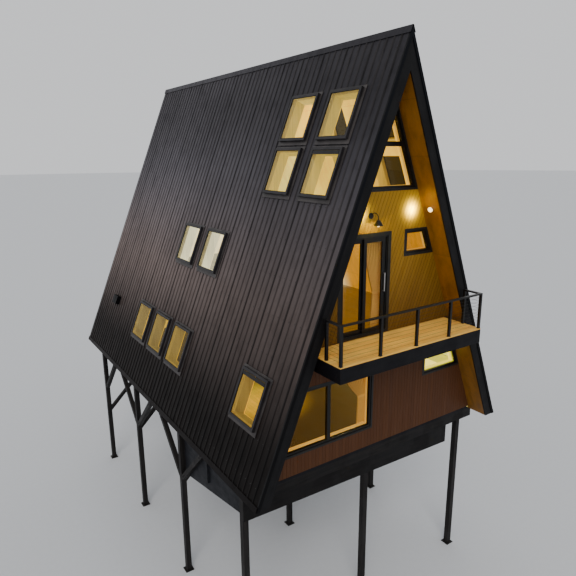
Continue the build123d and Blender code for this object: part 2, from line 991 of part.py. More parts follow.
def door_curtain():
    """Curtain inside the balcony door."""
    return curtain(
        door_right, door_rod_height, door_curtain_top, door_curtain_tie,
        door_curtain_tie_height, door_curtain_foot, second_floor_top,
    )


def window_curtain():
    """Curtain inside the wide window of the ground storey."""
    return curtain(
        ground_window_right, window_rod_height, window_curtain_top, window_curtain_tie,
        window_curtain_tie_height, window_curtain_foot, ground_floor_top,
    )


# Nodes

def save(name, piece):
    """Write one node in the part's frame."""
    export_step(to_part_frame * piece, f"parts/{name}.step")


def save_roof():
    """Every piece of the roof."""
    for name, maker in (("roof_deck", roof_deck), ("front_rake", front_rake), ("rear_rake", rear_rake)):
        piece = maker()
        save(f"{name}_left", piece)
        save(f"{name}_right", mirrored(piece))
    save("roof_metal", solids(both_sides([roof_metal()])))
    save("roof_lining", roof_lining())
    save("front_soffit", front_soffit())
    save("rake_trims", solids(rake_trims()))
    save("foot_trims", solids(both_sides([foot_trim()])))
    save("ridge_cap", ridge_cap())
    save("roof_window_frames", solids(both_sides(skylight_frames())))
    save("roof_window_flashings", solids(both_sides(skylight_flashings())))
    save("roof_window_glass", solids(both_sides(skylight_panes())))
    save("vent_hood", vent_hood())


def save_walls_and_floors():
    """The platform, the floors and the gable walls with their windows."""
    save("platform_joists", platform_joists())
    save("platform", platform())
    save("ground_floor", floor_slab(ground_floor_top, ground_floor_top))
    save("second_floor", floor_slab(second_floor_top, second_floor_depth))
    save("loft_floor", floor_slab(loft_floor_top, loft_floor_depth))
    save("front_wall_ground", ground_wall(front_wall_face, front_wall_back))
    save("front_wall_left", front_wall_left())
    save("front_wall_right", front_wall_right())
    save("front_wall_head", front_wall_head())
    save("rear_wall_ground", ground_wall(rear_wall_front, rear_wall_face))
    save("rear_wall_upper", rear_wall_upper())
    front_casings, front_sashes, front_panes = gable_windows(True)
    rear_casings, rear_sashes, rear_panes = gable_windows(False)
    save("gable_window_casings", solids(front_casings + rear_casings))
    save("gable_window_sashes", solids(front_sashes + rear_sashes))
    save("gable_window_glass", solids(front_panes + rear_panes))


def save_balcony():
    """The balcony door and the balcony."""
    save("door_casing", door_casing())
    save("patio_door_frame", patio_door_frame())
    save("patio_door_sashes", solids(patio_door_sashes()))
    save("patio_door_glass", solids(patio_door_panes()))
    save("patio_door_handle", patio_door_handle())
    save("balcony_frame", balcony_frame())
    save("balcony_deck", balcony_deck())
    save("front_guard", front_guard())
    save("side_guards", solids(both_sides([side_guard()])))


def save_underside():
    """What stands or hangs below the platform."""
    save("legs", solids(legs()))
    save("leg_braces", solids(both_sides(knee_braces() + cross_braces())))
    save("left_skirt", left_skirt())
    save("front_skirt", front_skirt())


def save_fittings():
    """Lamps and curtains."""
    save("sconce_arm", sconce_arm())
    save("sconce_shade", sconce_shade())
    save("soffit_lamps", solids(both_sides([soffit_lamp()])))
    door_rod = curtain_rod(door_right, door_rod_height)
    window_rod = curtain_rod(ground_window_right, window_rod_height)
    save("curtain_rods", solids([door_rod, window_rod]))
    save("door_curtain", door_curtain())
    save("window_curtain", window_curtain())


def main():
    os.makedirs("parts", exist_ok=True)
    save_roof()
    save_walls_and_floors()
    save_balcony()
    save_underside()
    save_fittings()


main()
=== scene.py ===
# %% [markdown]
# # A steep cabin on tall legs
# The model is a house shaped like a letter A: two metal slopes run from the ridge almost to the
# floor, a gable of cedar boards closes each end, and the whole stands on tall braced legs. The
# solids come from a CAD model in metres. This lesson gives them their finishes, and makes the
# small pieces that the solids leave out, each one in the place where the solids say it goes.

# %% Load the solids and keep their box
import math
import bmesh
import bpy
from mathutils import Matrix, Vector


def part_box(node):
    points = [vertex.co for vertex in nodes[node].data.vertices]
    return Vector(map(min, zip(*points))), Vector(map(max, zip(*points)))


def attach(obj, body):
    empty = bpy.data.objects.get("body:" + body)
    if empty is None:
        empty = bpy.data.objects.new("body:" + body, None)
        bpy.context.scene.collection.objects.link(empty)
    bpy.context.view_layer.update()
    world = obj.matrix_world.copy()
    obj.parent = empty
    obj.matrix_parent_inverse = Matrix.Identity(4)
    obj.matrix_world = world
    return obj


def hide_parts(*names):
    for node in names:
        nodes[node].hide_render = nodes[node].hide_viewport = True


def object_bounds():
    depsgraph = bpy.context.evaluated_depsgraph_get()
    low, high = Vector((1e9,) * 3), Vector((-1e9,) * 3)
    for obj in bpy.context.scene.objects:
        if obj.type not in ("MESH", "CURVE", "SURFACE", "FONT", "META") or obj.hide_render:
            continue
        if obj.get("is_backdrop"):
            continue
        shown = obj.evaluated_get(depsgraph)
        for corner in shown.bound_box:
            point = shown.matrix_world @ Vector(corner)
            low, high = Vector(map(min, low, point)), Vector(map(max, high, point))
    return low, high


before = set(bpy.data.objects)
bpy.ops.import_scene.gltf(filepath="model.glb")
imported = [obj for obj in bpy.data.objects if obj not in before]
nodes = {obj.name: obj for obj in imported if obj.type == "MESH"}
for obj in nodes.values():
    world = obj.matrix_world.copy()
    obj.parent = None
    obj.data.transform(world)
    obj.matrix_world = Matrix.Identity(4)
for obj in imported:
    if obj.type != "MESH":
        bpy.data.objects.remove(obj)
cad_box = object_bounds()
print("solids:", len(nodes), "box:", [[round(v, 3) for v in corner] for corner in cad_box])

# %% [markdown]
# ## Landmarks
# Every place below is measured from a few faces of the cabin: the face of the front rake board,
# the level of the roof's feet, the ridge, and the faces of the two gable walls. They are read from
# the solids, so nothing has to be typed in twice. Heights are counted from the roof's feet.

# %% Landmarks
rake_low, rake_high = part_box("front_rake_left")
rake_face = rake_low.y
foot = rake_low.z
half_width = -rake_low.x
ridge = rake_high.z
slope_angle = math.atan2(ridge - foot, half_width)
wall_face, wall_back = (corner.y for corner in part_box("front_wall_ground"))
rear_wall_back, rear_wall_face = (corner.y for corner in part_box("rear_wall_ground"))
up_slope = Vector((math.cos(slope_angle), 0, math.sin(slope_angle)))
out_of_slope = Vector((-math.sin(slope_angle), 0, math.cos(slope_angle)))
second_storey, loft_storey = 3.0, 6.0


def spot(x, back, height):
    """A point given from the middle, the front rake's face and the roof's feet."""
    return Vector((x, rake_face + back, foot + height))


print("pitch:", round(math.degrees(slope_angle), 2), "degrees, ridge", round(ridge, 3), "m")

# %% [markdown]
# ## Camera
# The cabin is seen from a point in the air, off its front left corner, so that one slope and the
# front gable both show. A level camera would need a shift; this one is tipped down instead.

# %% Camera
def in_scene(name, data):
    """A new object, linked to the scene."""
    made = bpy.data.objects.new(name, data)
    bpy.context.scene.collection.objects.link(made)
    return made


camera_data = bpy.data.cameras.new("camera")
camera_data.sensor_width = 36
camera_data.lens = 33.563
camera = in_scene("camera", camera_data)
bpy.context.scene.camera = camera
camera_turn, camera_dip, camera_roll = (math.radians(a) for a in (33.874, 14.034, -0.45))
camera_place = spot(-8.948, -8.604, 7.397)
camera.matrix_world = (
    Matrix.Translation(camera_place)
    @ Matrix.Rotation(-camera_turn, 4, "Z")
    @ Matrix.Rotation(math.pi / 2 - camera_dip, 4, "X")
    @ Matrix.Rotation(camera_roll, 4, "Z")
)
print("camera at", [round(v, 3) for v in camera_place])

# %% [markdown]
# ## Helpers for nodes
# A material is a small network. One helper adds a node, sets its values and links what feeds it,
# so that a finish can be read from top to bottom as a list of steps.

# %% Node helpers
def link_or_set(tree, socket, value):
    """Link the output of another node to a socket, or set it to a plain value."""
    if isinstance(value, bpy.types.NodeSocket):
        tree.links.new(value, socket)
    else:
        socket.default_value = value


def node(tree, kind, inputs=None, **settings):
    """Add a node; an input is a plain value, or the output of another node."""
    made = tree.nodes.new(kind)
    for name, value in settings.items():
        setattr(made, name, value)
    for key, value in (inputs or {}).items():
        link_or_set(tree, made.inputs[key], value)
    return made


def result(tree, kind, inputs=None, **settings):
    """First output of a new node."""
    return node(tree, kind, inputs, **settings).outputs[0]


def calc(tree, operation, *values):
    """Result of a calculation on one or two values."""
    return result(tree, "ShaderNodeMath", dict(enumerate(values)), operation=operation)


def chain(tree, operation, first, *others):
    """One calculation carried through a row of values."""
    for other in others:
        first = calc(tree, operation, first, other)
    return first


def times(tree, *values):
    """Product of values."""
    return chain(tree, "MULTIPLY", *values)


def plus(tree, *values):
    """Sum of values."""
    return chain(tree, "ADD", *values)


def minus(tree, first, second):
    """Difference of two values."""
    return calc(tree, "SUBTRACT", first, second)


def weighted(tree, *pairs):
    """Sum of values, each times a weight of its own."""
    return plus(tree, *[times(tree, value, weight) for value, weight in pairs])


def above(tree, value, limit):
    """Mask of where a value is over a limit."""
    return calc(tree, "GREATER_THAN", value, limit)


def below(tree, value, limit):
    """Mask of where a value is under a limit."""
    return calc(tree, "LESS_THAN", value, limit)


def spread(tree, value, low, high, to_low=0.0, to_high=1.0):
    """A value stretched from one range to another and held inside it."""
    inputs = {0: value, 1: low, 2: high, 3: to_low, 4: to_high}
    return result(tree, "ShaderNodeMapRange", inputs, interpolation_type="SMOOTHSTEP")


def ranged(tree, mask, at_none, at_full):
    """A mask turned into a range of values."""
    return spread(tree, mask, 0, 1, at_none, at_full)


def opened(tree, noise_value, to_low=0.0, to_high=1.0):
    """Noise keeps mostly between 0.3 and 0.7; this opens it out to a wider range."""
    return spread(tree, noise_value, 0.3, 0.7, to_low, to_high)


print("helpers for numbers ready")

# %% [markdown]
# Colours are written as the eye reads them on a screen, from 0 to 255, and turned into the linear
# values that light needs. Most finishes lie between a dark and a light tone of one colour, and
# then take a share of a stain, such as dust, where a mask shows it.

# %% Colour helpers
BLACK = (0, 0, 0, 1)
WHITE = (1, 1, 1, 1)


def linear(red, green, blue):
    """Linear colour of a screen colour given from 0 to 255."""
    levels = [value / 255 for value in (red, green, blue)]
    return (*(v / 12.92 if v <= 0.04045 else ((v + 0.055) / 1.055) ** 2.4 for v in levels), 1.0)


def blend(tree, factor, first, second, mode="MIX"):
    """Mix of two linear colours."""
    inputs = {0: factor, 6: first, 7: second}
    return node(tree, "ShaderNodeMix", inputs, data_type="RGBA", blend_type=mode).outputs[2]


def between(tree, factor, dark, light):
    """Colour between two screen colours."""
    return blend(tree, factor, linear(*dark), linear(*light))


def stained(tree, colour, mask, share, stain):
    """A colour that takes a share of a stain where a mask shows."""
    return blend(tree, times(tree, mask, share), colour, linear(*stain))


print("colour helpers ready")

# %% [markdown]
# Patterns are laid out in Object coordinates, which are metres here. A pattern that runs at an
# angle, such as the grain of a leaning board, takes them turned.

# %% Pattern helpers
def object_place(tree):
    """Object coordinates as a vector."""
    return node(tree, "ShaderNodeTexCoord").outputs["Object"]


def turned(tree, angles):
    """Object coordinates turned, for a pattern that runs at an angle."""
    inputs = {"Vector": object_place(tree), "Rotation": angles}
    return result(tree, "ShaderNodeMapping", inputs, vector_type="POINT")


def parts_of(tree, vector_in):
    """The three parts of a vector."""
    return node(tree, "ShaderNodeSeparateXYZ", {0: vector_in}).outputs


def vector(tree, x=0.0, y=0.0, z=0.0):
    """A vector from its three parts."""
    return result(tree, "ShaderNodeCombineXYZ", {0: x, 1: y, 2: z})


def vector_value(tree, operation, first, second):
    """Number worked out from two vectors."""
    inputs = {0: first, 1: second}
    return node(tree, "ShaderNodeVectorMath", inputs, operation=operation).outputs["Value"]


def noise(tree, place, scale, detail=3.0, roughness=0.5, distortion=0.0):
    """Soft random value over the surface."""
    inputs = {
        "Vector": place, "Scale": scale, "Detail": detail,
        "Roughness": roughness, "Distortion": distortion,
    }
    return result(tree, "ShaderNodeTexNoise", inputs)


def bump(tree, height, distance, strength=1.0):
    """Normal from a height, with its depth in metres."""
    inputs = {"Height": height, "Distance": distance, "Strength": strength}
    return result(tree, "ShaderNodeBump", inputs)


print("pattern helpers ready")


# %% Material helpers
def finish(name):
    """A new material: itself, its tree and its Principled shader."""
    material = bpy.data.materials.new(name)
    material.use_nodes = True
    return material, material.node_tree, material.node_tree.nodes["Principled BSDF"]


def spaced(values):
    """Named values with their names as sockets are labelled, with spaces."""
    return {key.replace("_", " "): value for key, value in values.items()}


def feed(tree, shader, **sources):
    """Link or set inputs of a shader, written with _ for a space."""
    for label, value in spaced(sources).items():
        link_or_set(tree, shader.inputs[label], value)


print("material helpers ready")

# %% [markdown]
# ## Shader groups
# Five effects come back in many finishes, so each is a node group with named inputs: the grain of
# sawn wood, a row of boards with a tone of its own for each, the streaks and dust that weather
# leaves, paint that wears on its arrises, and the light of the rooms. A group gives out only
# values and colours; the shader that uses them stays in the material.

# %% Group helpers
VALUE, VECTOR, COLOUR = "NodeSocketFloat", "NodeSocketVector", "NodeSocketColor"


def shader_group(name, inputs):
    """An empty shader group and what its input node gives."""
    tree = bpy.data.node_groups.new(name, "ShaderNodeTree")
    for label, kind, default in inputs:
        socket = tree.interface.new_socket(label, in_out="INPUT", socket_type=kind)
        if default is not None:
            socket.default_value = default
    return tree, tree.nodes.new("NodeGroupInput").outputs


def give_out(tree, kind=VALUE, **results):
    """Declare a group's outputs, link what feeds them and return the finished group."""
    for label in results:
        tree.interface.new_socket(label, in_out="OUTPUT", socket_type=kind)
    node(tree, "NodeGroupOutput", results)
    print("group:", tree.name, "gives", ", ".join(results))
    return tree


def use_group(tree, group, **inputs):
    """Place a group in a material and return its outputs."""
    return node(tree, "ShaderNodeGroup", spaced(inputs), node_tree=group).outputs


print("group helpers ready")

# %% [markdown]
# ### Wood grain
# Grain is a noise pulled out long in one direction. A wide band of it gives the flame figure of a
# board, and a much finer one gives the fibres that a hand would feel. Grain runs along local Z.

# %% Wood Grain group
fibres_to_figure = 9.0
tree, given = shader_group(
    "Wood Grain", [("Place", VECTOR, None), ("Scale", VALUE, 9.0), ("Stretch", VALUE, 14.0)]
)
x, y, z = parts_of(tree, given["Place"])
pulled = vector(tree, x, y, calc(tree, "DIVIDE", z, given["Stretch"]))
figure = noise(tree, pulled, given["Scale"], 4.0, 0.6, 0.7)
fibre = noise(tree, pulled, times(tree, given["Scale"], fibres_to_figure), 2.0, 0.6)
grain_group = give_out(tree, Figure=opened(tree, figure), Fibre=opened(tree, fibre))

# %% [markdown]
# ### Rows of boards
# The whole part of a distance divided by the board's width numbers the boards, and a random value
# drawn from that number gives each board its own tone. The fraction left over shows the joint.

# %% Board Row group
tree, given = shader_group(
    "Board Row", [("Across", VALUE, 0.0), ("Width", VALUE, 0.14), ("Joint", VALUE, 0.004)]
)
count = calc(tree, "DIVIDE", given["Across"], given["Width"])
number = calc(tree, "FLOOR", count)
within = calc(tree, "FRACT", count)
nearer_side = calc(tree, "MINIMUM", within, minus(tree, 1.0, within))
to_edge = times(tree, nearer_side, given["Width"])
board_group = give_out(
    tree,
    Tone=result(tree, "ShaderNodeTexWhiteNoise", {"W": number}, noise_dimensions="1D"),
    Joint=below(tree, to_edge, times(tree, given["Joint"], 0.5)),
)

# %% [markdown]
# ### Weather
# Rain draws streaks down a wall or a slope, dust lies where a face looks up, and paint fades in
# wide soft patches. The group gives all three as masks, and each finish uses what suits it.

# %% Weather group
streak_squeeze = 0.05
tree, given = shader_group(
    "Weather", [("Place", VECTOR, None), ("Patch Size", VALUE, 1.5), ("Streak Width", VALUE, 0.1)]
)
patches = noise(tree, given["Place"], calc(tree, "DIVIDE", 1.0, given["Patch Size"]), 5.0, 0.6)
x, y, z = parts_of(tree, given["Place"])
drawn_down = vector(tree, x, y, times(tree, z, streak_squeeze))
streaks = noise(tree, drawn_down, calc(tree, "DIVIDE", 1.0, given["Streak Width"]), 3.0, 0.6)
facing = parts_of(tree, node(tree, "ShaderNodeNewGeometry").outputs["Normal"])["Z"]
grit = spread(tree, noise(tree, given["Place"], 40.0, 4.0), 0.35, 0.7)
weather_group = give_out(
    tree,
    Patches=spread(tree, patches, 0.35, 0.65),
    Streaks=spread(tree, streaks, 0.4, 0.7),
    Dust=times(tree, spread(tree, facing, 0.2, 0.95), grit),
)

# %% [markdown]
# ### Edge wear
# Paint wears first on an arris. The Bevel node rounds the normal near an edge; where the rounded
# normal leans away from the face's own, the surface is close to an edge, and that is the mask.

# %% Edge Wear group
tree, given = shader_group("Edge Wear", [("Place", VECTOR, None), ("Radius", VALUE, 0.006)])
rounded = result(tree, "ShaderNodeBevel", {"Radius": given["Radius"]}, samples=4)
plain = node(tree, "ShaderNodeNewGeometry").outputs["Normal"]
leaning = minus(tree, 1.0, vector_value(tree, "DOT_PRODUCT", rounded, plain))
broken = spread(tree, noise(tree, given["Place"], 14.0, 5.0, 0.7), 0.4, 0.65)
wear_group = give_out(tree, Edge=times(tree, spread(tree, leaning, 0.01, 0.2), broken))

# %% [markdown]
# ### Light in the rooms
# Each storey has its own lamps, so the colour of the light changes with height and with distance
# from the front gable: golden behind the balcony door, paler further back, and warm in the peak.
# The group turns a place into that light, and every lit surface multiplies its own colour by it and
# glows with the result: painted room light.

# %% Room Light group
front_ends = (4.4, 5.4)
right_corner_starts = (0.9, 1.7)
wall_skin, floor_skin = 0.03, 0.02
tree, given = shader_group("Room Light", [("Place", VECTOR, None)])
x, y, z = parts_of(tree, given["Place"])
height = minus(tree, z, foot)
near_front = spread(tree, minus(tree, y, rake_face), *front_ends, 1.0, 0.0)
right_corner = times(tree, near_front, spread(tree, x, *right_corner_starts))
corner_light = between(tree, right_corner, (230, 180, 40), (250, 240, 150))
ground_light = blend(tree, near_front, linear(200, 172, 26), corner_light)
middle_light = between(tree, near_front, (255, 250, 214), (156, 112, 3))
loft_light = between(tree, near_front, (255, 236, 130), (246, 208, 84))
light = blend(tree, above(tree, height, second_storey), ground_light, middle_light)
light = blend(tree, above(tree, height, loft_storey), light, loft_light)
# Random brighter and dimmer patches of painted light.
pool = opened(tree, noise(tree, given["Place"], 0.5, 1.0), 0.72, 1.0)
light = blend(tree, pool, BLACK, light)
inside = times(
    tree,
    above(tree, y, wall_face + wall_skin),
    below(tree, y, rear_wall_face - wall_skin),
    above(tree, height, floor_skin),
)
room_group = give_out(tree, COLOUR, Light=blend(tree, inside, BLACK, light))


def room_light(tree, place):
    """Colour of the lamps' light at a place in a room."""
    return use_group(tree, room_group, Place=place)["Light"]


# %% [markdown]
# ## Light
# Soft light comes from all round, at the level where a painted colour looks as it was mixed, and
# one wide sun from the front left gives the ribs and boards a lit side. The background is pale only
# for the eye, for gloss and through glass, so it doesn't wash the colours out.

# %% World and sun
world = bpy.data.worlds.new("studio")
bpy.context.scene.world = world
world.use_nodes = True
sky = world.node_tree
sky.nodes.clear()
rays = node(sky, "ShaderNodeLightPath").outputs
seen = chain(
    sky, "MAXIMUM", rays["Is Camera Ray"], rays["Is Transmission Ray"], rays["Is Glossy Ray"]
)
soft_strength = 0.72
soft_light, pale = (
    result(sky, "ShaderNodeBackground", {"Color": colour, "Strength": strength})
    for colour, strength in (((0.93, 0.96, 1.0, 1), soft_strength), ((0.83, 0.84, 0.86, 1), 1.0))
)
mixed = result(sky, "ShaderNodeMixShader", {0: seen, 1: soft_light, 2: pale})
node(sky, "ShaderNodeOutputWorld", {"Surface": mixed})

sun_data = bpy.data.lights.new("soft_sun", "SUN")
sun_data.energy = 1.1
sun_data.angle = math.radians(28)
sun_data.color = (1.0, 0.97, 0.93)
sun = in_scene("soft_sun", sun_data)
sun.rotation_euler = (math.radians(52), 0, math.radians(-38))
print("world strength", soft_strength, "and sun", round(sun_data.energy, 2))

# %% [markdown]
# ## Floor
# A plain pale disc under the legs catches the cabin's shadow. It runs far enough back that its edge
# meets the background at the horizon.

# %% Floor
floor_radius = 400
floor_mesh = bpy.data.meshes.new("studio_floor")
floor_shape = bmesh.new()
bmesh.ops.create_circle(floor_shape, cap_ends=True, segments=96, radius=floor_radius)
floor_shape.to_mesh(floor_mesh)
floor_shape.free()
floor = in_scene("studio_floor", floor_mesh)
paper, tree, shader = finish("pale_paper")
fleck = noise(tree, object_place(tree), 6.0, 4.0)
feed(tree, shader, Base_Color=between(tree, fleck, (216, 217, 219), (222, 223, 225)), Roughness=0.9)
floor_mesh.materials.append(paper)
floor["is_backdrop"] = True
print("floor radius", floor_radius, "m")


# %% [markdown]
# ## Putting finishes and pieces in place
# A few small helpers keep the rest short. One gives a finish to solids, one makes a mesh into a
# piece that rides on the cabin and says which finish it takes, and the others clean a mesh up.

# %% Piece helpers
merge_distance = 0.0002


def dress(material, *names):
    """Give solids a finish."""
    for name in names:
        mesh = nodes[name].data
        mesh.materials.clear()
        mesh.materials.append(material)
    print(material.name, "on", ", ".join(names))


def place_piece(name, mesh, material, slot, *replaced):
    """Add a finished mesh to the cabin; without a material it keeps its own."""
    if material is not None:
        mesh.materials.clear()
        mesh.materials.append(material)
    piece = in_scene(name, mesh)
    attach(piece, "root")
    if replaced:
        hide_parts(*replaced)
    print(name, "-", sum(len(face.vertices) - 2 for face in mesh.polygons), "triangles")
    return piece


def mesh_from(name, shape):
    """Mesh from a bmesh, which is freed."""
    mesh = bpy.data.meshes.new(name)
    shape.to_mesh(mesh)
    shape.free()
    return mesh


def mesh_of(name, shape):
    """Mesh from a bmesh, with its doubles merged and its faces turned outwards."""
    bmesh.ops.remove_doubles(shape, verts=shape.verts, dist=merge_distance)
    bmesh.ops.recalc_face_normals(shape, faces=shape.faces)
    return mesh_from(name, shape)


def smoothed(mesh):
    """The mesh, shaded smooth."""
    for face in mesh.polygons:
        face.use_smooth = True
    return mesh


def solid_copy(*names):
    """Copies of solids in one mesh, with their loose triangles joined into faces."""
    shape = bmesh.new()
    for name in names:
        shape.from_mesh(nodes[name].data)
    bmesh.ops.remove_doubles(shape, verts=shape.verts, dist=merge_distance)
    bmesh.ops.dissolve_limit(shape, angle_limit=0.01, verts=shape.verts, edges=shape.edges)
    return mesh_from("copy_of_" + names[0], shape)


print("doubles merge within", merge_distance, "m")

# %% [markdown]
# ## Geometry Nodes helpers
# What repeats is made by small trees: rows of boards, rows of screws, bolts. Each tree has named
# inputs, ends in Realize Instances and Set Material, and is turned into a plain mesh at once, so
# that nothing is left to work out later.

# %% Tree helpers
GEOMETRY, INTEGER, MATERIAL = "NodeSocketGeometry", "NodeSocketInt", "NodeSocketMaterial"


def growth(name, **inputs):
    """An empty geometry tree with named inputs and a material, and what its input node gives."""
    tree = bpy.data.node_groups.new(name, "GeometryNodeTree")
    tree.interface.new_socket("Geometry", in_out="OUTPUT", socket_type=GEOMETRY)
    for label, kind in spaced({"Geometry": GEOMETRY, **inputs, "Material": MATERIAL}).items():
        tree.interface.new_socket(label, in_out="INPUT", socket_type=kind)
    return tree, tree.nodes.new("NodeGroupInput").outputs


def end_growth(tree, geometry, material):
    """Close a tree: single pieces become real mesh and get their finish."""
    real = result(tree, "GeometryNodeRealizeInstances", {0: geometry})
    painted = result(tree, "GeometryNodeSetMaterial", {"Geometry": real, "Material": material})
    node(tree, "NodeGroupOutput", {0: painted})
    print("tree:", tree.name)
    return tree


def grown(tree, host_mesh, **inputs):
    """Plain mesh that a tree makes on a host mesh."""
    host = in_scene("host", host_mesh)
    modifier = host.modifiers.new("grow", "NODES")
    modifier.node_group = tree
    values = spaced(inputs)
    for item in tree.interface.items_tree:
        if item.in_out == "INPUT" and item.name in values:
            modifier[item.identifier] = values[item.name]
    bpy.context.view_layer.update()
    graph = bpy.context.evaluated_depsgraph_get()
    mesh = bpy.data.meshes.new_from_object(
        host.evaluated_get(graph), preserve_all_data_layers=True, depsgraph=graph
    )
    host.modifiers.clear()
    bpy.data.objects.remove(host)
    return mesh


def moved(tree, geometry, offset, rotation=(0, 0, 0)):
    """Geometry turned and moved."""
    inputs = {"Geometry": geometry, "Translation": offset, "Rotation": rotation}
    return result(tree, "GeometryNodeTransform", inputs)


def in_line(tree, piece, count, start, step):
    """A piece repeated along a straight line."""
    line = result(
        tree, "GeometryNodeMeshLine", {"Count": count, "Start Location": start, "Offset": step}
    )
    return result(tree, "GeometryNodeInstanceOnPoints", {"Points": line, "Instance": piece})


def tapered(tree, sides, radius, taper, depth):
    """A short stud with flat sides, a little narrower at its top."""
    inputs = {
        "Vertices": sides, "Radius Top": times(tree, radius, taper),
        "Radius Bottom": radius, "Depth": depth,
    }
    return result(tree, "GeometryNodeMeshCone", inputs)


def joined(tree, *parts):
    """Several geometries as one."""
    both = node(tree, "GeometryNodeJoinGeometry")
    for part in parts:
        tree.links.new(part, both.inputs[0])
    return both.outputs[0]


print("tree helpers ready")

# %% [markdown]
# ## Roof sheet
# The slopes are charcoal steel sheet with trapezoid ribs. Baked paint on steel is satin: it shows
# a broad soft highlight, slight waves between the ribs, and faint streaks where rain runs down. The
# paint also carries painted light and shade by height and depth, darkest at the feet and bluer high
# up, so it is worked out once and used by every folded sheet. On the ribs it carries painted shade,
# a painted highlight on their crests and a painted shadow line at each lap.

# %% Masks of the ribs
rib_pitch = 0.223
first_rib = rake_face + 0.2215
ribs_to_sheet = 4
rib_edge, crest_edge, lap_edge = (0.026, 0.046), (0.008, 0.013), (0.026, 0.044)


def rib_lines(tree, place):
    """Masks of the ribs, their crests and the sheets' laps, from the nearest rib's middle."""
    y = parts_of(tree, place)["Y"]
    along = calc(tree, "DIVIDE", minus(tree, y, first_rib), rib_pitch)
    whole = calc(tree, "ROUND", along)
    away = calc(tree, "ABSOLUTE", times(tree, minus(tree, along, whole), rib_pitch))
    rib, crest, seam = (
        spread(tree, away, *edge, 1.0, 0.0) for edge in (rib_edge, crest_edge, lap_edge)
    )
    turn = calc(tree, "FRACT", calc(tree, "DIVIDE", plus(tree, whole, 0.5), ribs_to_sheet))
    return rib, crest, times(tree, below(tree, turn, 1 / ribs_to_sheet), seam)


def painted_height_light(tree, place):
    """Painted light and shade: darkest at the feet, lightest at a third of the height and at the
    rear.
    """
    _, y, z = parts_of(tree, place)
    rise = spread(tree, z, foot + 0.7, foot + 4.2, 0.06, 1.0)
    fall = spread(tree, z, foot + 3.4, foot + 9.2, 1.0, 0.32)
    rearwards = spread(tree, y, rake_face, rake_face + 12.0, 0.5, 1.0)
    return times(tree, rise, fall, rearwards)


print("a lap after every", ribs_to_sheet, "ribs")


# %% Roof sheet finish
def sheet_paint(name, dark, light, wave, ribbed=False):
    """Satin paint on thin steel, which waves a little; painted shade and highlights mark the ribs.
    """
    material, tree, shader = finish(name)
    place = object_place(tree)
    weather = use_group(tree, weather_group, Place=place, Patch_Size=2.6, Streak_Width=0.16)
    # How light the paint is: painted light and shade by height, with real fading in patches and
    # rain streaks.
    light_and_fading = times(
        tree,
        painted_height_light(tree, place),
        ranged(tree, weather["Patches"], 0.88, 1.06),
        ranged(tree, weather["Streaks"], 1.0, 0.86),
    )
    colour = between(tree, light_and_fading, dark, light)
    # Bluer high up: a painted reflection of the sky.
    painted_sky_share = spread(tree, parts_of(tree, place)["Z"], foot + 3.4, foot + 7.4)
    painted_sky_tint = blend(tree, painted_sky_share, WHITE, (1.0, 1.22, 1.5, 1))
    colour = blend(tree, 1.0, colour, painted_sky_tint, "MULTIPLY")
    colour = stained(tree, colour, weather["Dust"], 0.06, (92, 88, 82))
    if ribbed:
        rib, crest, lap = rib_lines(tree, place)
        # Painted shade over the ribs, a painted highlight on their crests and a painted shadow line
        # at each lap.
        painted_rib_shade = between(tree, light_and_fading, (8, 8, 9), (34, 31, 31))
        painted_crest_highlight = between(tree, light_and_fading, (46, 40, 38), (132, 120, 118))
        colour = blend(tree, times(tree, rib, 0.55), colour, painted_rib_shade)
        colour = blend(tree, times(tree, crest, 0.35), colour, painted_crest_highlight)
        colour = stained(tree, colour, lap, 0.5, (9, 9, 10))
    speck, buckle = noise(tree, place, 900.0, 2.0), noise(tree, place, 3.2, 2.0)
    feed(
        tree, shader,
        Base_Color=colour,
        Roughness=ranged(tree, weather["Streaks"], 0.4, 0.52),
        Normal=bump(tree, weighted(tree, (speck, 0.00002), (buckle, wave)), 1.0),
        Specular_IOR_Level=0.06,
    )
    return material


roof_paint = sheet_paint("charcoal_roof_sheet", (4, 4, 4), (124, 109, 105), 0.003, ribbed=True)
cap_paint = sheet_paint("charcoal_folded_sheet", (10, 9, 10), (118, 104, 100), 0.002)
trim_paint = sheet_paint("black_trim_sheet", (10, 10, 12), (18, 17, 19), 0.001)
dress(roof_paint, "roof_metal")
dress(cap_paint, "ridge_cap", "foot_trims")
dress(trim_paint, "rake_trims", "vent_hood")


# %% [markdown]
# ## Painted boards and metal trims
# The rakes and the balcony's rim are timber painted near black. Painted timber keeps a little of
# its grain, and its paint thins on the arrises. The grain runs along each board, so the pattern is
# turned with it.

# %% Painted timber
def painted_timber(name, dark, light, angles):
    """Paint or stain over sawn timber; grain along the turned local Z."""
    material, tree, shader = finish(name)
    place = turned(tree, angles)
    grain = use_group(tree, grain_group, Place=place, Scale=14.0, Stretch=18.0)
    weather = use_group(
        tree, weather_group, Place=object_place(tree), Patch_Size=0.8, Streak_Width=0.06
    )
    wear = use_group(tree, wear_group, Place=place, Radius=0.008)
    colour = between(tree, grain["Figure"], dark, light)
    colour = stained(tree, colour, weather["Dust"], 0.25, (78, 74, 70))
    colour = stained(tree, colour, wear["Edge"], 0.5, (66, 60, 55))
    feed(
        tree, shader,
        Base_Color=colour,
        Roughness=ranged(tree, weather["Patches"], 0.5, 0.68),
        Normal=bump(tree, plus(tree, grain["Fibre"], grain["Figure"]), 0.0006, 0.6),
        Specular_IOR_Level=0.15,
    )
    return material


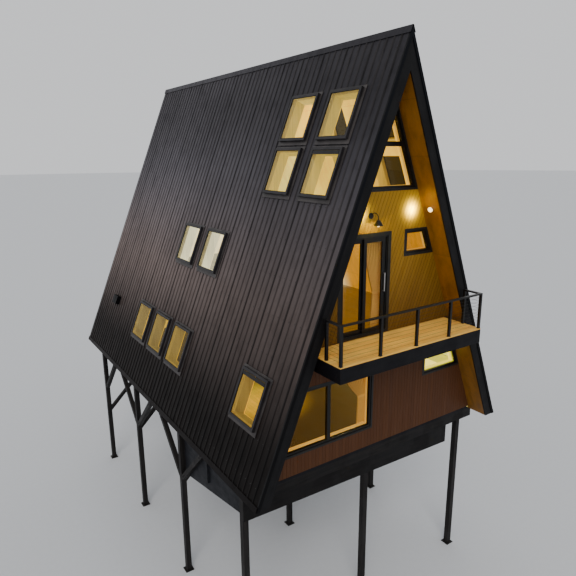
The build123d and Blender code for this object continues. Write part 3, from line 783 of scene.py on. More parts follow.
upright = (0, 0, 0)
along_x, along_y = (0, math.pi / 2, 0), (math.pi / 2, 0, 0)
board_lean = math.pi / 2 - slope_angle
near_black = ((8, 8, 10), (17, 16, 18))
rake_left_paint = painted_timber("rake_paint_left", *near_black, (0, -board_lean, 0))
rake_right_paint = painted_timber("rake_paint_right", *near_black, (0, board_lean, 0))
rim_paint = painted_timber("balcony_rim_paint", (6, 6, 10), (14, 13, 18), along_x)
dress(rake_left_paint, "front_rake_left", "rear_rake_left")
dress(rake_right_paint, "front_rake_right", "rear_rake_right")
dress(rim_paint, "balcony_frame", "platform")


# %% [markdown]
# ### Metal casings, rails and lamps
# Extruded metal with baked paint is smoother than timber: a fine even texture and a soft sheen,
# with a little dust on what faces up.

# %% Painted metal
def painted_metal(name, dark, light, rough):
    """Baked paint on extruded metal."""
    material, tree, shader = finish(name)
    place = object_place(tree)
    weather = use_group(tree, weather_group, Place=place, Patch_Size=0.5, Streak_Width=0.03)
    wear = use_group(tree, wear_group, Place=place, Radius=0.003)
    colour = between(tree, weather["Patches"], dark, light)
    colour = stained(tree, colour, weather["Dust"], 0.25, (84, 80, 74))
    colour = stained(tree, colour, wear["Edge"], 0.4, (92, 90, 86))
    feed(
        tree, shader,
        Base_Color=colour,
        Roughness=ranged(tree, weather["Streaks"], rough, rough + 0.12),
        Normal=bump(tree, noise(tree, place, 700.0, 2.0), 0.0001, 0.5),
        Specular_IOR_Level=0.25,
    )
    return material


black_paint = painted_metal("black_metal", (9, 9, 10), (16, 15, 16), 0.34)
casing_paint = painted_metal("window_casing", (19, 19, 19), (29, 28, 27), 0.42)
frame_paint = painted_metal("roof_window_frame", (28, 26, 28), (42, 39, 41), 0.4)
flashing_paint = painted_metal("roof_window_flashing", (52, 48, 48), (72, 67, 66), 0.4)
dress(black_paint, "gable_window_sashes", "patio_door_frame", "patio_door_sashes")
dress(black_paint, "front_guard", "side_guards", "sconce_arm", "sconce_shade", "curtain_rods")
dress(casing_paint, "gable_window_casings", "door_casing")
dress(frame_paint, "roof_window_frames")
dress(flashing_paint, "roof_window_flashings")


# %% [markdown]
# ### Handle, enamel and rubber
# Three small finishes need no group: one fine pattern drives their colour, gloss and relief. The
# door's pull is bare metal, and brushing is a very fine noise pulled out along the bar, which
# spreads the highlight across it. The lamp's shade is enamelled white inside and glows with painted
# bulb light, and black rubber seals the roof windows.

# %% Simple finishes
def simple_finish(name, pattern_of, dark, light, rough, relief, **constants):
    """One pattern for colour, gloss and relief; relief is (depth, strength)."""
    material, tree, shader = finish(name)
    pattern = pattern_of(tree)
    feed(
        tree, shader,
        Base_Color=between(tree, pattern, dark, light),
        Roughness=opened(tree, pattern, *rough),
        Normal=bump(tree, pattern, *relief),
        **constants,
    )
    return material


def brushing(tree):
    """Fine scratches along the bar."""
    x, y, z = parts_of(tree, object_place(tree))
    return noise(tree, vector(tree, x, y, times(tree, z, 0.02)), 2500.0, 2.0)


brushed = simple_finish(
    "brushed_handle", brushing, (196, 194, 188), (226, 224, 220), (0.26, 0.4), (0.0002, 0.4),
    Metallic=1.0,
)
enamel = simple_finish(
    "white_enamel", lambda tree: noise(tree, object_place(tree), 60.0, 3.0),
    (238, 230, 212), (248, 242, 228), (0.2, 0.32), (0.0003, 0.3),
    # The enamel glows warm: painted light of the bulb.
    Emission_Color=linear(255, 206, 128), Emission_Strength=0.8,
)
rubber = simple_finish(
    "black_rubber", lambda tree: noise(tree, object_place(tree), 300.0, 3.0),
    (9, 9, 9), (20, 20, 20), (0.6, 0.8), (0.0003, 0.5), Specular_IOR_Level=0.2,
)
dress(brushed, "patio_door_handle")

# %% [markdown]
# ## Glass
# Real panes are never quite flat, and a slow wave in the normal is what makes their reflections
# wander. Their tint is painted light and shade for what shows through them: the panes are faintly
# warm in the front gable and amber low in the left slope and all over the right one, painted room
# light, and dark in the rear gable and in the right slope's loft, painted shade, since these look
# dark through the front ones. The small low pane under the balcony is an even pale yellow and
# glows a little: painted room light.

# %% Glass
smoked_from = 6.2
small_pane_starts = 1.5
glass, tree, shader = finish("window_glass")
place = object_place(tree)
x, y, z = parts_of(tree, place)
at_rear = above(tree, y, rear_wall_back)
behind_front = above(tree, y, wall_back + 0.05)
low_down = below(tree, z, foot + second_storey)
on_right = times(tree, behind_front, above(tree, x, 0.0))
in_loft = above(tree, z, foot + smoked_from)
small_pane = times(
    tree, low_down, above(tree, x, small_pane_starts), minus(tree, 1.0, behind_front)
)
# Dark panes where the view through them is dark: painted shade.
painted_shade_panes = calc(tree, "MAXIMUM", at_rear, times(tree, on_right, in_loft))
tint = between(tree, noise(tree, place, 0.7, 2.0), (236, 238, 226), (248, 248, 238))
# Warm and amber tints: painted room light seen through the panes.
tint = blend(tree, behind_front, linear(255, 240, 206), tint)
for mask, colour in (
    (times(tree, behind_front, low_down), (255, 243, 184)),
    (on_right, (244, 235, 178)),
    (painted_shade_panes, (78, 66, 38)),
):
    tint = blend(tree, mask, tint, linear(*colour))
feed(
    tree, shader,
    Base_Color=tint,
    Roughness=opened(tree, noise(tree, place, 5.0, 3.0), 0.0, 0.015),
    Transmission_Weight=1.0,
    IOR=1.14,
    Normal=bump(tree, noise(tree, place, 1.6, 1.0), 0.004, 0.4),
    # The small low pane glows: painted room light.
    Emission_Color=blend(tree, small_pane, BLACK, linear(240, 238, 70)),
    Emission_Strength=0.4,
)
dress(glass, "roof_window_glass", "gable_window_glass", "patio_door_glass")


# %% [markdown]
# ## Plywood
# Sheets of sealed plywood line the slopes inside and under both overhangs. Rotary-cut veneer has a
# wide wandering figure, sheets meet in thin dark joints, and each sheet has a tone of its own.

# %% Plywood
sheet_height, sheet_length, sheet_joint = 1.22, 2.44, 0.006
lining_glow = 1.4


def lamp_shade(tree, tone, joint, at_joint):
    """How much painted lamp light the boards glow with: less where they are dark or meet."""
    return times(tree, spread(tree, tone, 0.1, 0.9, 0.8, 1.0), ranged(tree, joint, 1.0, at_joint))


def plywood(name, dark, light, glow):
    """Sealed plywood; glow is the strength of the painted room light it gives out."""
    material, tree, shader = finish(name)
    place = object_place(tree)
    _, y, z = parts_of(tree, place)
    rows, bays = (
        use_group(tree, board_group, Across=across, Width=width, Joint=sheet_joint)
        for across, width in (
            (minus(tree, z, foot), sheet_height), (minus(tree, y, wall_face), sheet_length)
        )
    )
    grain = use_group(tree, grain_group, Place=place, Scale=5.0, Stretch=9.0)
    tone = weighted(tree, (grain["Figure"], 0.55), (rows["Tone"], 0.25), (grain["Fibre"], 0.2))
    joints = calc(tree, "MAXIMUM", rows["Joint"], bays["Joint"])
    relief = minus(tree, grain["Fibre"], times(tree, joints, 6.0))
    feed(
        tree, shader,
        Base_Color=stained(tree, between(tree, tone, dark, light), joints, 0.7, (40, 22, 8)),
        Roughness=ranged(tree, grain["Figure"], 0.42, 0.58),
        Normal=bump(tree, relief, 0.0006, 0.5),
    )
    if glow:
        # Painted room light: the plywood glows with the light of the rooms.
        shade = lamp_shade(tree, tone, joints, 0.55)
        lit = blend(tree, shade, BLACK, room_light(tree, place))
        feed(tree, shader, Emission_Color=lit, Emission_Strength=glow)
    return material


dress(plywood("soffit_plywood", (102, 66, 10), (146, 96, 20), 0), "front_soffit")
dress(plywood("lining_plywood", (170, 130, 46), (202, 162, 66), lining_glow), "roof_lining")

# %% [markdown]
# ## Rooms
# The rooms are lit, and that is what the windows show. Walls, reveals and floors glow with
# painted light of their own storey, so the windows look lit from any side. A brighter painted
# pool of light lies on the ground floor.

# %% Lit surfaces
painted_pool_centre = spot(-1.3, 4.4, 0.1)
pool_edge = (0.6, 1.8)
pool_glow = 0.86
storey_blend = 0.1


def storey_glow(tree, place, glow):
    """Painted glow of a surface by storey, with the painted pool of light on the ground floor."""
    z = parts_of(tree, place)["Z"]
    ground, middle, loft = glow
    level, share = (
        spread(tree, z, foot + storey - storey_blend, foot + storey + storey_blend, low, high)
        for storey, low, high in (
            (second_storey, ground, middle), (loft_storey, 1.0, loft / middle)
        )
    )
    to_pool = vector_value(tree, "DISTANCE", place, painted_pool_centre)
    in_pool = spread(tree, to_pool, *pool_edge, pool_glow, 0.0)
    return calc(tree, "MINIMUM", plus(tree, times(tree, level, share), in_pool), 1.0)


def lit_room(name, dark, light, glow, board, tint):
    """Painted boards in the rooms; glow is painted room light by storey, tint is their share of the
    lamps' colour.
    """
    material, tree, shader = finish(name)
    place = object_place(tree)
    across = parts_of(tree, place)["X"]
    row = use_group(tree, board_group, Across=across, Width=board, Joint=0.005)
    grain = use_group(tree, grain_group, Place=place, Scale=6.0, Stretch=12.0)
    room = room_light(tree, place)
    tone = weighted(tree, (row["Tone"], 0.4), (grain["Figure"], 0.6))
    colour = stained(tree, between(tree, tone, dark, light), row["Joint"], 0.6, (60, 40, 20))
    # Painted lamp colour, mixed into the base colour inside the rooms.
    if tint:
        inside = above(tree, parts_of(tree, room)["Y"], 0.001)
        colour = blend(tree, times(tree, inside, tint), colour, room)
    # Painted room light: the boards glow by storey and in the painted pool.
    shade = times(tree, lamp_shade(tree, tone, row["Joint"], 0.6), storey_glow(tree, place, glow))
    feed(
        tree, shader,
        Base_Color=colour,
        Roughness=ranged(tree, grain["Figure"], 0.5, 0.65),
        Normal=bump(tree, grain["Fibre"], 0.0005, 0.5),
        Emission_Color=blend(tree, shade, BLACK, room),
        Emission_Strength=lining_glow,
    )
    return material


room_wall = lit_room(
    "lit_wall_boards", (196, 152, 66), (222, 182, 92), glow=(0.8, 0.93, 0.9), board=0.14, tint=0.45
)
room_reveal = lit_room(
    "lit_roof_reveals", (140, 130, 104), (164, 152, 124), glow=(0.07, 0.85, 0.54), board=0.3, tint=0
)
room_floor = lit_room(
    "lit_floor_boards", (42, 31, 20), (64, 48, 28), glow=(0.03, 0.4, 0.07), board=0.12, tint=0
)
dress(room_wall, "front_wall_ground", "front_wall_left", "front_wall_right", "front_wall_head")
dress(room_wall, "rear_wall_ground", "rear_wall_upper")
dress(room_reveal, "roof_deck_left", "roof_deck_right")
dress(room_floor, "ground_floor", "second_floor", "loft_floor")


# %% [markdown]
# ## Cedar boards
# Both gables are clad in narrow cedar boards. Below the balcony they stand upright; above it they
# lean to the same angle as the left slope. Boards are real geometry here, because their joints
# cast the fine lines that the eye reads as cladding: a tree lays a row of bevelled boards over a
# wall and cuts it to the wall's own outline, windows and all.

# %% Board tree
board_width, board_gap, board_depth, board_bevel = 0.104, 0.002, 0.016, 0.0018
board_length, boards_to_wall, sunk = 14.0, 147, 0.002
tree, given = growth(
    "Board Cladding", Face=VALUE, Middle_Height=VALUE, Outwards=VALUE, Lean=VALUE, Width=VALUE,
    Gap=VALUE, Depth=VALUE, Bevel=VALUE, Count=INTEGER,
)
size = vector(tree, minus(tree, given["Width"], given["Gap"]), given["Depth"], board_length)
board = result(tree, "GeometryNodeMeshCube", {"Size": size})
corner = parts_of(tree, result(tree, "GeometryNodeInputPosition"))
outer = above(tree, times(tree, corner["Y"], given["Outwards"]), 0.0)
pull = times(tree, calc(tree, "SIGN", corner["X"]), given["Bevel"], outer, -1.0)
board = result(
    tree, "GeometryNodeSetPosition", {"Geometry": board, "Offset": vector(tree, pull)}
)
half_row = times(tree, minus(tree, given["Count"], 1.0), 0.5)
start = vector(tree, times(tree, half_row, given["Width"], -1.0))
row = in_line(tree, board, given["Count"], start, vector(tree, given["Width"]))
row = result(tree, "GeometryNodeRealizeInstances", {0: row})
embed = times(tree, minus(tree, times(tree, given["Depth"], 0.5), sunk), given["Outwards"])
place = vector(tree, 0.0, plus(tree, given["Face"], embed), given["Middle Height"])
row = moved(tree, row, place, vector(tree, 0.0, given["Lean"]))
past = vector(tree, 0.0, times(tree, given["Depth"], 1.5, given["Outwards"]))
wall = moved(tree, given["Geometry"], past)
cut = node(tree, "GeometryNodeMeshBoolean", operation="INTERSECT", solver="EXACT")
for shape in (wall, row):
    tree.links.new(shape, cut.inputs["Mesh 2"])
row_tree = end_growth(tree, cut.outputs[0], given["Material"])


# %% [markdown]
# The finish of a board follows its own length: the pattern is turned with the lean, so the grain
# runs along every board and each board has its own tone. High under the overhang, towards the
# soffit lamps, the cedar is lightened to a straw colour, painted lamp light, and just above the
# balcony it is darker.

# %% Cedar finish
def along_boards(tree, place, tone, jump):
    """A place shifted along its own board, so that no two boards share their grain."""
    x, y, z = parts_of(tree, place)
    return vector(tree, x, y, plus(tree, z, times(tree, tone, jump)))


def cedar(name, lean, dark, middle, light):
    """Oiled cedar boards that lean by an angle; grain along each board."""
    material, tree, shader = finish(name)
    place = turned(tree, (0, -lean, 0))
    across = plus(tree, parts_of(tree, place)["X"], board_width / 2)
    row = use_group(tree, board_group, Across=across, Width=board_width, Joint=board_gap)
    shifted = along_boards(tree, place, row["Tone"], 37.0)
    grain = use_group(tree, grain_group, Place=shifted, Scale=16.0, Stretch=16.0)
    weather = use_group(
        tree, weather_group, Place=object_place(tree), Patch_Size=1.1, Streak_Width=0.05
    )
    colour = between(tree, ranged(tree, row["Tone"], 0.35, 0.7), dark, light)
    for mask, share, tone in (
        (grain["Figure"], 0.4, middle),
        (grain["Fibre"], 0.15, dark),
        (weather["Streaks"], 0.2, dark),
    ):
        colour = stained(tree, colour, mask, share, tone)
    z = parts_of(tree, object_place(tree))["Z"]
    # Lighter high up towards the soffit lamps: painted lamp light. Darker just above the balcony.
    painted_lamp_light_high = spread(tree, z, foot + 4.6, foot + 6.6, 0.0, 0.55)
    darker_above_balcony = spread(tree, z, foot + second_storey, foot + 4.8, 0.4, 0.0)
    colour = blend(tree, painted_lamp_light_high, colour, linear(172, 130, 32))
    colour = stained(tree, colour, darker_above_balcony, above(tree, z, foot + second_storey), (70, 42, 16))
    colour = stained(tree, colour, row["Joint"], 0.9, (18, 10, 5))
    relief = plus(tree, grain["Fibre"], times(tree, grain["Figure"], 0.6))
    feed(
        tree, shader,
        Base_Color=colour,
        Roughness=ranged(tree, grain["Figure"], 0.48, 0.66),
        Normal=bump(tree, relief, 0.0009, 0.6),
        Specular_IOR_Level=0.14,
    )
    return material


# The upper storeys' golden tone, against the brown ground storey, is partly their own and partly
# painted lamp light.
cedar_low = cedar("cedar_ground_storey", 0.0, (66, 38, 20), (77, 46, 25), (86, 53, 30))
cedar_high = cedar("cedar_upper_storeys", board_lean, (98, 68, 14), (120, 86, 22), (136, 102, 32))
print("cedar leans", round(math.degrees(board_lean), 1), "degrees above the balcony")


# %% Cladding
def clad(name, wall, face, outwards):
    """Cover a wall's outer face with boards, upright on the ground storey and leaning above it."""
    low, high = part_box(wall)
    upright_boards = wall.endswith("ground")
    lean, material = (0.0, cedar_low) if upright_boards else (board_lean, cedar_high)
    mesh = grown(
        row_tree, solid_copy(wall), Face=face, Outwards=outwards, Lean=lean,
        Middle_Height=(low.z + high.z) / 2 if upright_boards else foot,
        Width=board_width, Gap=board_gap, Depth=board_depth, Bevel=board_bevel,
        Count=boards_to_wall, Material=material,
    )
    place_piece(name, mesh, None, "cedar_siding")


for part in ("ground", "left", "right", "head"):
    clad("siding_front_" + part, "front_wall_" + part, wall_face, -1.0)
for part in ("ground", "upper"):
    clad("siding_rear_" + part, "rear_wall_" + part, rear_wall_face, 1.0)

# %% [markdown]
# ## Balcony deck
# The balcony is decked with boards laid side by side along its front, a little apart so that rain
# drains through. They are a light tan, partly weathered wood and partly painted lamp light, and
# their arrises are rounded. A profile with filleted corners is drawn once and swept along each
# board.

# %% Deck tree
tree, given = growth(
    "Deck Boards", Length=VALUE, Width=VALUE, Gap=VALUE, Depth=VALUE, Rounding=VALUE,
    Start=VECTOR, Count=INTEGER,
)
run = result(tree, "GeometryNodeCurvePrimitiveLine", {"End": vector(tree, given["Length"])})
outline = result(
    tree, "GeometryNodeCurvePrimitiveQuadrilateral",
    {"Width": given["Width"], "Height": given["Depth"]},
)
rounding = {"Curve": outline, "Radius": given["Rounding"], "Count": 2}
outline = result(tree, "GeometryNodeFilletCurve", rounding, mode="POLY")
plank = result(
    tree, "GeometryNodeCurveToMesh", {"Curve": run, "Profile Curve": outline, "Fill Caps": True}
)
step = vector(tree, 0.0, plus(tree, given["Width"], given["Gap"]))
planks = in_line(tree, plank, given["Count"], given["Start"], step)
deck_tree = end_growth(tree, planks, given["Material"])


# %% Deck boards
def deck_finish(name, width, offset, dark, light):
    """Boards laid along X, with grain along them and a tone for each."""
    material, tree, shader = finish(name)
    across = minus(tree, parts_of(tree, object_place(tree))["Y"], offset)
    row = use_group(tree, board_group, Across=across, Width=width, Joint=0.002)
    shifted = along_boards(tree, turned(tree, along_x), row["Tone"], 23.0)
    grain = use_group(tree, grain_group, Place=shifted, Scale=14.0, Stretch=16.0)
    weather = use_group(
        tree, weather_group, Place=object_place(tree), Patch_Size=0.7, Streak_Width=0.05
    )
    tone = weighted(tree, (row["Tone"], 0.5), (grain["Figure"], 0.5))
    colour = between(tree, tone, dark, light)
    relief = plus(tree, grain["Fibre"], times(tree, grain["Figure"], 0.6))
    feed(
        tree, shader,
        Base_Color=stained(tree, colour, weather["Patches"], 0.25, (176, 136, 86)),
        Roughness=ranged(tree, grain["Fibre"], 0.55, 0.75),
        Normal=bump(tree, relief, 0.001, 0.6),
        Specular_IOR_Level=0.12,
    )
    return material


deck_low, deck_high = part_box("balcony_deck")
deck_count, deck_gap = 8, 0.006
deck_depth = deck_high.z - deck_low.z
deck_pitch = (deck_high.y - deck_low.y + deck_gap) / deck_count
deck_width = deck_pitch - deck_gap
# The boards' bright tan is partly their own weathered tone and partly painted lamp light.
deck_wood = deck_finish("balcony_boards", deck_pitch, deck_low.y, (244, 176, 74), (255, 206, 100))
deck_mesh = grown(
    deck_tree, bpy.data.meshes.new("empty"),
    Length=deck_high.x - deck_low.x, Width=deck_width, Gap=deck_gap, Depth=deck_depth,
    Rounding=0.004, Count=deck_count, Material=deck_wood,
    Start=(deck_low.x, deck_low.y + deck_width / 2, deck_low.z + deck_depth / 2),
)
place_piece("balcony_deck_boards", deck_mesh, None, "deck_boards", "balcony_deck")

# %% [markdown]
# ## Legs, braces and skirting
# The legs are square sawn posts stained almost black, with knee braces in line and across. The
# skirting hides the space behind the front legs. It is board painted a blue charcoal.

# %% Legs and skirts
leg_stain = ((20, 19, 20), (38, 35, 34))
for name, tones, angles, solid in (
    ("stained_legs", leg_stain, upright, "legs"),
    ("stained_braces", leg_stain, (math.pi / 4, 0, 0), "leg_braces"),
    ("skirt_paint", ((20, 21, 25), (34, 35, 40)), along_y, "left_skirt"),
    ("front_skirt_paint", ((9, 8, 9), (18, 15, 15)), along_x, "front_skirt"),
    ("platform_timber", ((12, 11, 12), (26, 23, 22)), along_x, "platform_joists"),
):
    dress(painted_timber(name, *tones, angles), solid)

# %% [markdown]
# ## Lamps
# Two round lamps sit in the soffit, and a cone shade hangs over the door. Their lenses and the bulb
# give out a warm light. A lens alone lights its surroundings slowly in a render, so each lamp also
# has a small light of its own beside it. A light so near the soffit would burn a white patch into
# it, so those two are spots that point at the wall and leave the soffit in their soft edge.

# %% Lamp lenses
lens, tree, shader = finish("lit_lens")
facets = node(
    tree, "ShaderNodeTexVoronoi", {"Vector": object_place(tree), "Scale": 260.0}
).outputs["Distance"]
feed(
    tree, shader,
    Base_Color=between(tree, facets, (255, 238, 205), (255, 226, 176)),
    Roughness=0.35,
    Normal=bump(tree, facets, 0.0008, 0.4),
    Emission_Color=between(tree, facets, (255, 240, 208), (255, 214, 140)),
    Emission_Strength=4.0,
)
dress(lens, "soffit_lamps")


# %% Lamp light
def lamp_light(name, place, watts, size, colour, washes_wall=False):
    """Small warm light at a lamp; one that washes the wall points straight at it."""
    data = bpy.data.lights.new(name, "SPOT" if washes_wall else "POINT")
    data.energy = watts
    data.shadow_soft_size = size
    data.color = colour
    light = in_scene(name, data)
    light.location = place
    if washes_wall:
        data.spot_size = math.radians(160)
        data.spot_blend = 1.0
        light.rotation_euler = (math.pi / 2, 0, 0)
    light.visible_camera = False
    light.visible_glossy = False


lamp_low, lamp_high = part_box("soffit_lamps")
lamp_middle = (lamp_low + lamp_high) / 2
shade_low, shade_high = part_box("sconce_shade")
shade_middle = (shade_low + shade_high) / 2
warm, golden, soffit_glow = (1.0, 0.86, 0.4), (1.0, 0.9, 0.3), (0.94, 1.0, 0.26)
from_side, from_wall = 0.41, 0.16
for side, name in ((1, "right_soffit_light"), (-1, "left_soffit_light")):
    place = (side * (lamp_high.x - from_side), wall_face - from_wall, lamp_middle.z)
    lamp_light(name, place, 88, 0.06, soffit_glow, washes_wall=True)
under_shade = (shade_middle.x, shade_middle.y, shade_low.z - 0.01)
for name, place, watts, size, colour in (
    ("door_light", under_shade, 30, 0.04, (1.0, 0.84, 0.04)),
    ("balcony_glow", (0.6, wall_face - 1.1, foot + 5.0), 20, 0.4, (1.0, 0.92, 0.3)),
    ("ground_room_light", spot(0.9, 3.2, 2.6), 90, 0.12, warm),
    ("ground_rear_light", spot(0.6, 8.4, 2.6), 60, 0.12, warm),
    ("second_room_light", spot(-0.2, 2.6, 5.7), 42, 0.12, golden),
    ("second_rear_light", spot(0.0, 8.0, 5.7), 60, 0.12, warm),
    ("loft_light", spot(0.0, 3.6, 8.0), 36, 0.1, warm),
):
    lamp_light(name, place, watts, size, colour)
    print(name, watts, "W")


# %% [markdown]
# ### Lathed pieces
# The bulb, its holder, the shade's white lining and the rims of the soffit lamps are all turned
# shapes. A helper spins a profile of radius and height round an axis and places it.

# %% Lathe helper
def join_rings(shape, rings):
    """Four-sided faces between closed rings of points."""
    steps = len(rings[0])
    for low_ring, high_ring in zip(rings, rings[1:]):
        for step in range(steps):
            after = (step + 1) % steps
            shape.faces.new((low_ring[step], low_ring[after], high_ring[after], high_ring[step]))


def lathed(name, profile, place, steps):
    """Mesh of a profile of (radius, height) points turned round local Z, then placed."""
    shape = bmesh.new()
    angles = [2 * math.pi * step / steps for step in range(steps)]
    rings = [
        [shape.verts.new((radius * math.cos(a), radius * math.sin(a), height)) for a in angles]
        for radius, height in profile
    ]
    join_rings(shape, rings)
    mesh = smoothed(mesh_of(name, shape))
    mesh.transform(place)
    return mesh


def at_shade(z):
    """Place on the axis of the cone shade, at a level."""
    return Matrix.Translation((shade_middle.x, shade_middle.y, z))


print("the cone shade's axis is at x", round(shade_middle.x, 3), "y", round(shade_middle.y, 3))

# %% Bulb, holder and lining
shade_height = shade_high.z - shade_low.z
bulb_lift, holder_drop = 0.006, 0.029
bulb_radius, bulb_neck, bulb_length = 0.034, 0.014, shade_height - 0.032
bulb_turns = (0, 0.35, 0.7, 1.05, 1.4, 1.75, 2.1)
bulb_round = [(bulb_radius * math.sin(a), -bulb_radius * math.cos(a)) for a in bulb_turns]
bulb_profile = bulb_round + [(bulb_neck, bulb_length * 0.62), (bulb_neck * 0.92, bulb_length)]
holder_profile = [(0, 0), (0.017, 0), (0.02, 0.006), (0.02, 0.024), (0, 0.024)]
lining_profile = [
    (0.1085, 0.001), (0.0285, shade_height - 0.006),
    (0.0275, shade_height - 0.0065), (0.1070, 0.001),
]
for name, profile, z, steps, material, slot in (
    ("sconce_bulb", bulb_profile, shade_low.z + bulb_lift, 24, lens, "lamp_lens"),
    ("sconce_holder", holder_profile, shade_high.z - holder_drop, 24, black_paint, "black_metal"),
    ("sconce_shade_lining", lining_profile, shade_low.z, 32, enamel, "black_metal"),
):
    place_piece(name, lathed(name, profile, at_shade(z), steps), material, slot)

# %% Rims of the soffit lamps
rim_profile = [(0.056, 0), (0.071, 0), (0.073, 0.004), (0.069, 0.012), (0.058, 0.014), (0.056, 0)]
rim_from_side, rim_from_top = 0.027, 0.0595
rims = bmesh.new()
for side in (-1, 1):
    inwards = Vector((-side * math.sin(slope_angle), 0, -math.cos(slope_angle)))
    turn_in = Vector((0, 0, 1)).rotation_difference(inwards).to_matrix().to_4x4()
    rim_x = side * (lamp_high.x - rim_from_side)
    rim_place = Matrix.Translation((rim_x, lamp_middle.y, lamp_high.z - rim_from_top))
    rims.from_mesh(lathed("rim", rim_profile, rim_place @ turn_in, 40))
place_piece("soffit_lamp_rims", mesh_of("soffit_lamp_rims", rims), black_paint, "black_metal")

# %% [markdown]
# ## Window linings
# Behind each sash a painted liner covers the cut edge of the wall, and a sill board reaches into
# the room. From outside they show as a thin pale line along the bottom and one side of the glass.
# Windows beside a slope have a side that leans with it, so their outlines are worked out from the
# slope, and a window on the left is one on the right turned over.

# %% Outlines of the gable windows
roof_thickness = 0.32
liner_outside, liner_inside, peak_inside = 0.003, 0.112, 0.12


def half_at(height):
    """Half the width between the linings at a height over the roof's feet."""
    return half_width * (1 - height / (ridge - foot)) - roof_thickness / math.sin(slope_angle)


def side_outline(left, bottom, top, margin):
    """Window against the right slope, drawn in by a margin."""
    lean = margin / math.sin(slope_angle)
    low, high = bottom + margin, top - margin
    right_low, right_high = half_at(low) - lean, half_at(high) - lean
    return [(left + margin, low), (right_low, low), (right_high, high), (left + margin, high)]


def peak_outline(bottom, margin_low, margin_side):
    """Glazed peak, drawn in from its bottom and from the slopes."""
    lean = margin_side / math.sin(slope_angle)
    low = bottom + margin_low
    tip = (ridge - foot) - (roof_thickness + margin_side) / math.cos(slope_angle)
    return [(lean - half_at(low), low), (half_at(low) - lean, low), (0, tip)]


def both_sides(window, turned_over):
    """Outer and inner outline of a liner, turned over for a window on the left."""
    pair = [side_outline(*window, margin) for margin in (liner_outside, liner_inside)]
    return [[(-x, z) for x, z in outline] if turned_over else outline for outline in pair]


wide_window, small_window, upper_window = (0.22, 0.57, 2.2), (1.55, 1.55, 2.2), (0.65, 4.93, 5.6)
peak_bottom = 6.54
peak = [
    peak_outline(peak_bottom, liner_outside, liner_outside),
    peak_outline(peak_bottom, liner_inside, peak_inside),
]
front_outlines = [
    both_sides(wide_window, True),
    both_sides(small_window, False),
    both_sides(upper_window, False),
    peak,
]
rear_outlines = front_outlines + [both_sides(upper_window, True)]
print("gable windows:", len(front_outlines), "in front and", len(rear_outlines), "at the rear")


# %% Liners and sills
liner_reach, sill_reach = (0.093, 0.159), (0.161, 0.215)
sill_depth, sill_gap = 0.03, 0.002


def add_ring(shape, outer, inner, near, far):
    """Ring between two outlines of (x, height), from one Y to another."""
    outer_near, outer_far, inner_near, inner_far = (
        [shape.verts.new((x, y, foot + z)) for x, z in outline]
        for outline in (outer, inner) for y in (near, far)
    )
    for i in range(len(outer)):
        j = (i + 1) % len(outer)
        shape.faces.new((outer_near[i], outer_near[j], outer_far[j], outer_far[i]))
        shape.faces.new((inner_near[j], inner_near[i], inner_far[i], inner_far[j]))
        shape.faces.new((outer_near[j], outer_near[i], inner_near[i], inner_near[j]))
        shape.faces.new((outer_far[i], outer_far[j], inner_far[j], inner_far[i]))


def add_box(shape, low, high):
    """Box between two corners, added to a bmesh."""
    middle = (Vector(low) + Vector(high)) / 2
    size = Vector(high) - Vector(low)
    box = Matrix.Translation(middle) @ Matrix.Diagonal((*size, 1))
    bmesh.ops.create_cube(shape, size=1, matrix=box)


def window_liners(outlines, face, inwards):
    """Liners and sill boards of every window in one gable."""
    shape = bmesh.new()
    liner, (sill_near, sill_far) = (
        sorted(face + inwards * reach for reach in both) for both in (liner_reach, sill_reach)
    )
    for outer, inner in outlines:
        add_ring(shape, outer, inner, *liner)
        sill = foot + inner[0][1]
        left, right = sorted((inner[0][0], inner[1][0]))
        low = (left - sill_depth, sill_near, sill - sill_depth)
        add_box(shape, low, (right, sill_far, sill - sill_gap))
    return mesh_of("window_liners", shape)


def liner_paint(name, dark, light):
    """Brushed paint on the liners, which glows with painted light of the room behind them."""
    material, tree, shader = finish(name)
    place = object_place(tree)
    brush = use_group(tree, grain_group, Place=place, Scale=20.0, Stretch=10.0)
    colour = between(tree, brush["Figure"], dark, light)
    # Painted room light, with a little cream mixed in, given out as a glow.
    daylit = blend(tree, 0.2, room_light(tree, place), linear(255, 236, 190))
    feed(
        tree, shader,
        Base_Color=colour,
        Roughness=ranged(tree, brush["Fibre"], 0.35, 0.5),
        Normal=bump(tree, brush["Fibre"], 0.0003, 0.4),
        Emission_Color=blend(tree, 1.0, colour, daylit, "MULTIPLY"),
        Emission_Strength=0.5,
    )
    return material


gable_liner = liner_paint("gable_liner_paint", (226, 204, 150), (240, 222, 172))
for name, gable in (
    ("front_window_liners", (front_outlines, wall_face, 1)),
    ("rear_window_liners", (rear_outlines, rear_wall_face, -1)),
):
    place_piece(name, window_liners(*gable), gable_liner, "curtain_cloth")

# %% [markdown]
# ## Roof windows
# Each roof window has a painted liner down to the room, and a black rubber gasket that seals the
# pane to its frame. Both are frames laid on the slope, so the helpers work in the slope's own
# directions: back, up the slope, and out of it.

# %% Slope helpers
window_width, window_height = 1.0, 1.08
pane_top, pane_depth = 0.098, 0.03
loft_backs, loft_slopes = (1.45, 3.045), (7.49, 8.89)
near_window = (1.44, 2.03)
window_places = [(back, slope) for slope in loft_slopes for back in loft_backs]
window_places += [(5.395, 5.03), (6.995, 5.03), near_window]
window_places += [(back, near_window[1]) for back in (5.65, 7.17, 8.69)]
block_faces = ((0, 1, 2, 3), (4, 5, 6, 7), (0, 1, 5, 4), (1, 2, 6, 5), (2, 3, 7, 6), (3, 0, 4, 7))


def on_slope(side, back, slope, rise):
    """Point on a slope (-1 left, 1 right), a rise out of its face."""
    x = side * (half_width - slope * up_slope.x - rise * out_of_slope.x)
    return Vector((x, rake_face + back, foot + slope * up_slope.z + rise * out_of_slope.z))


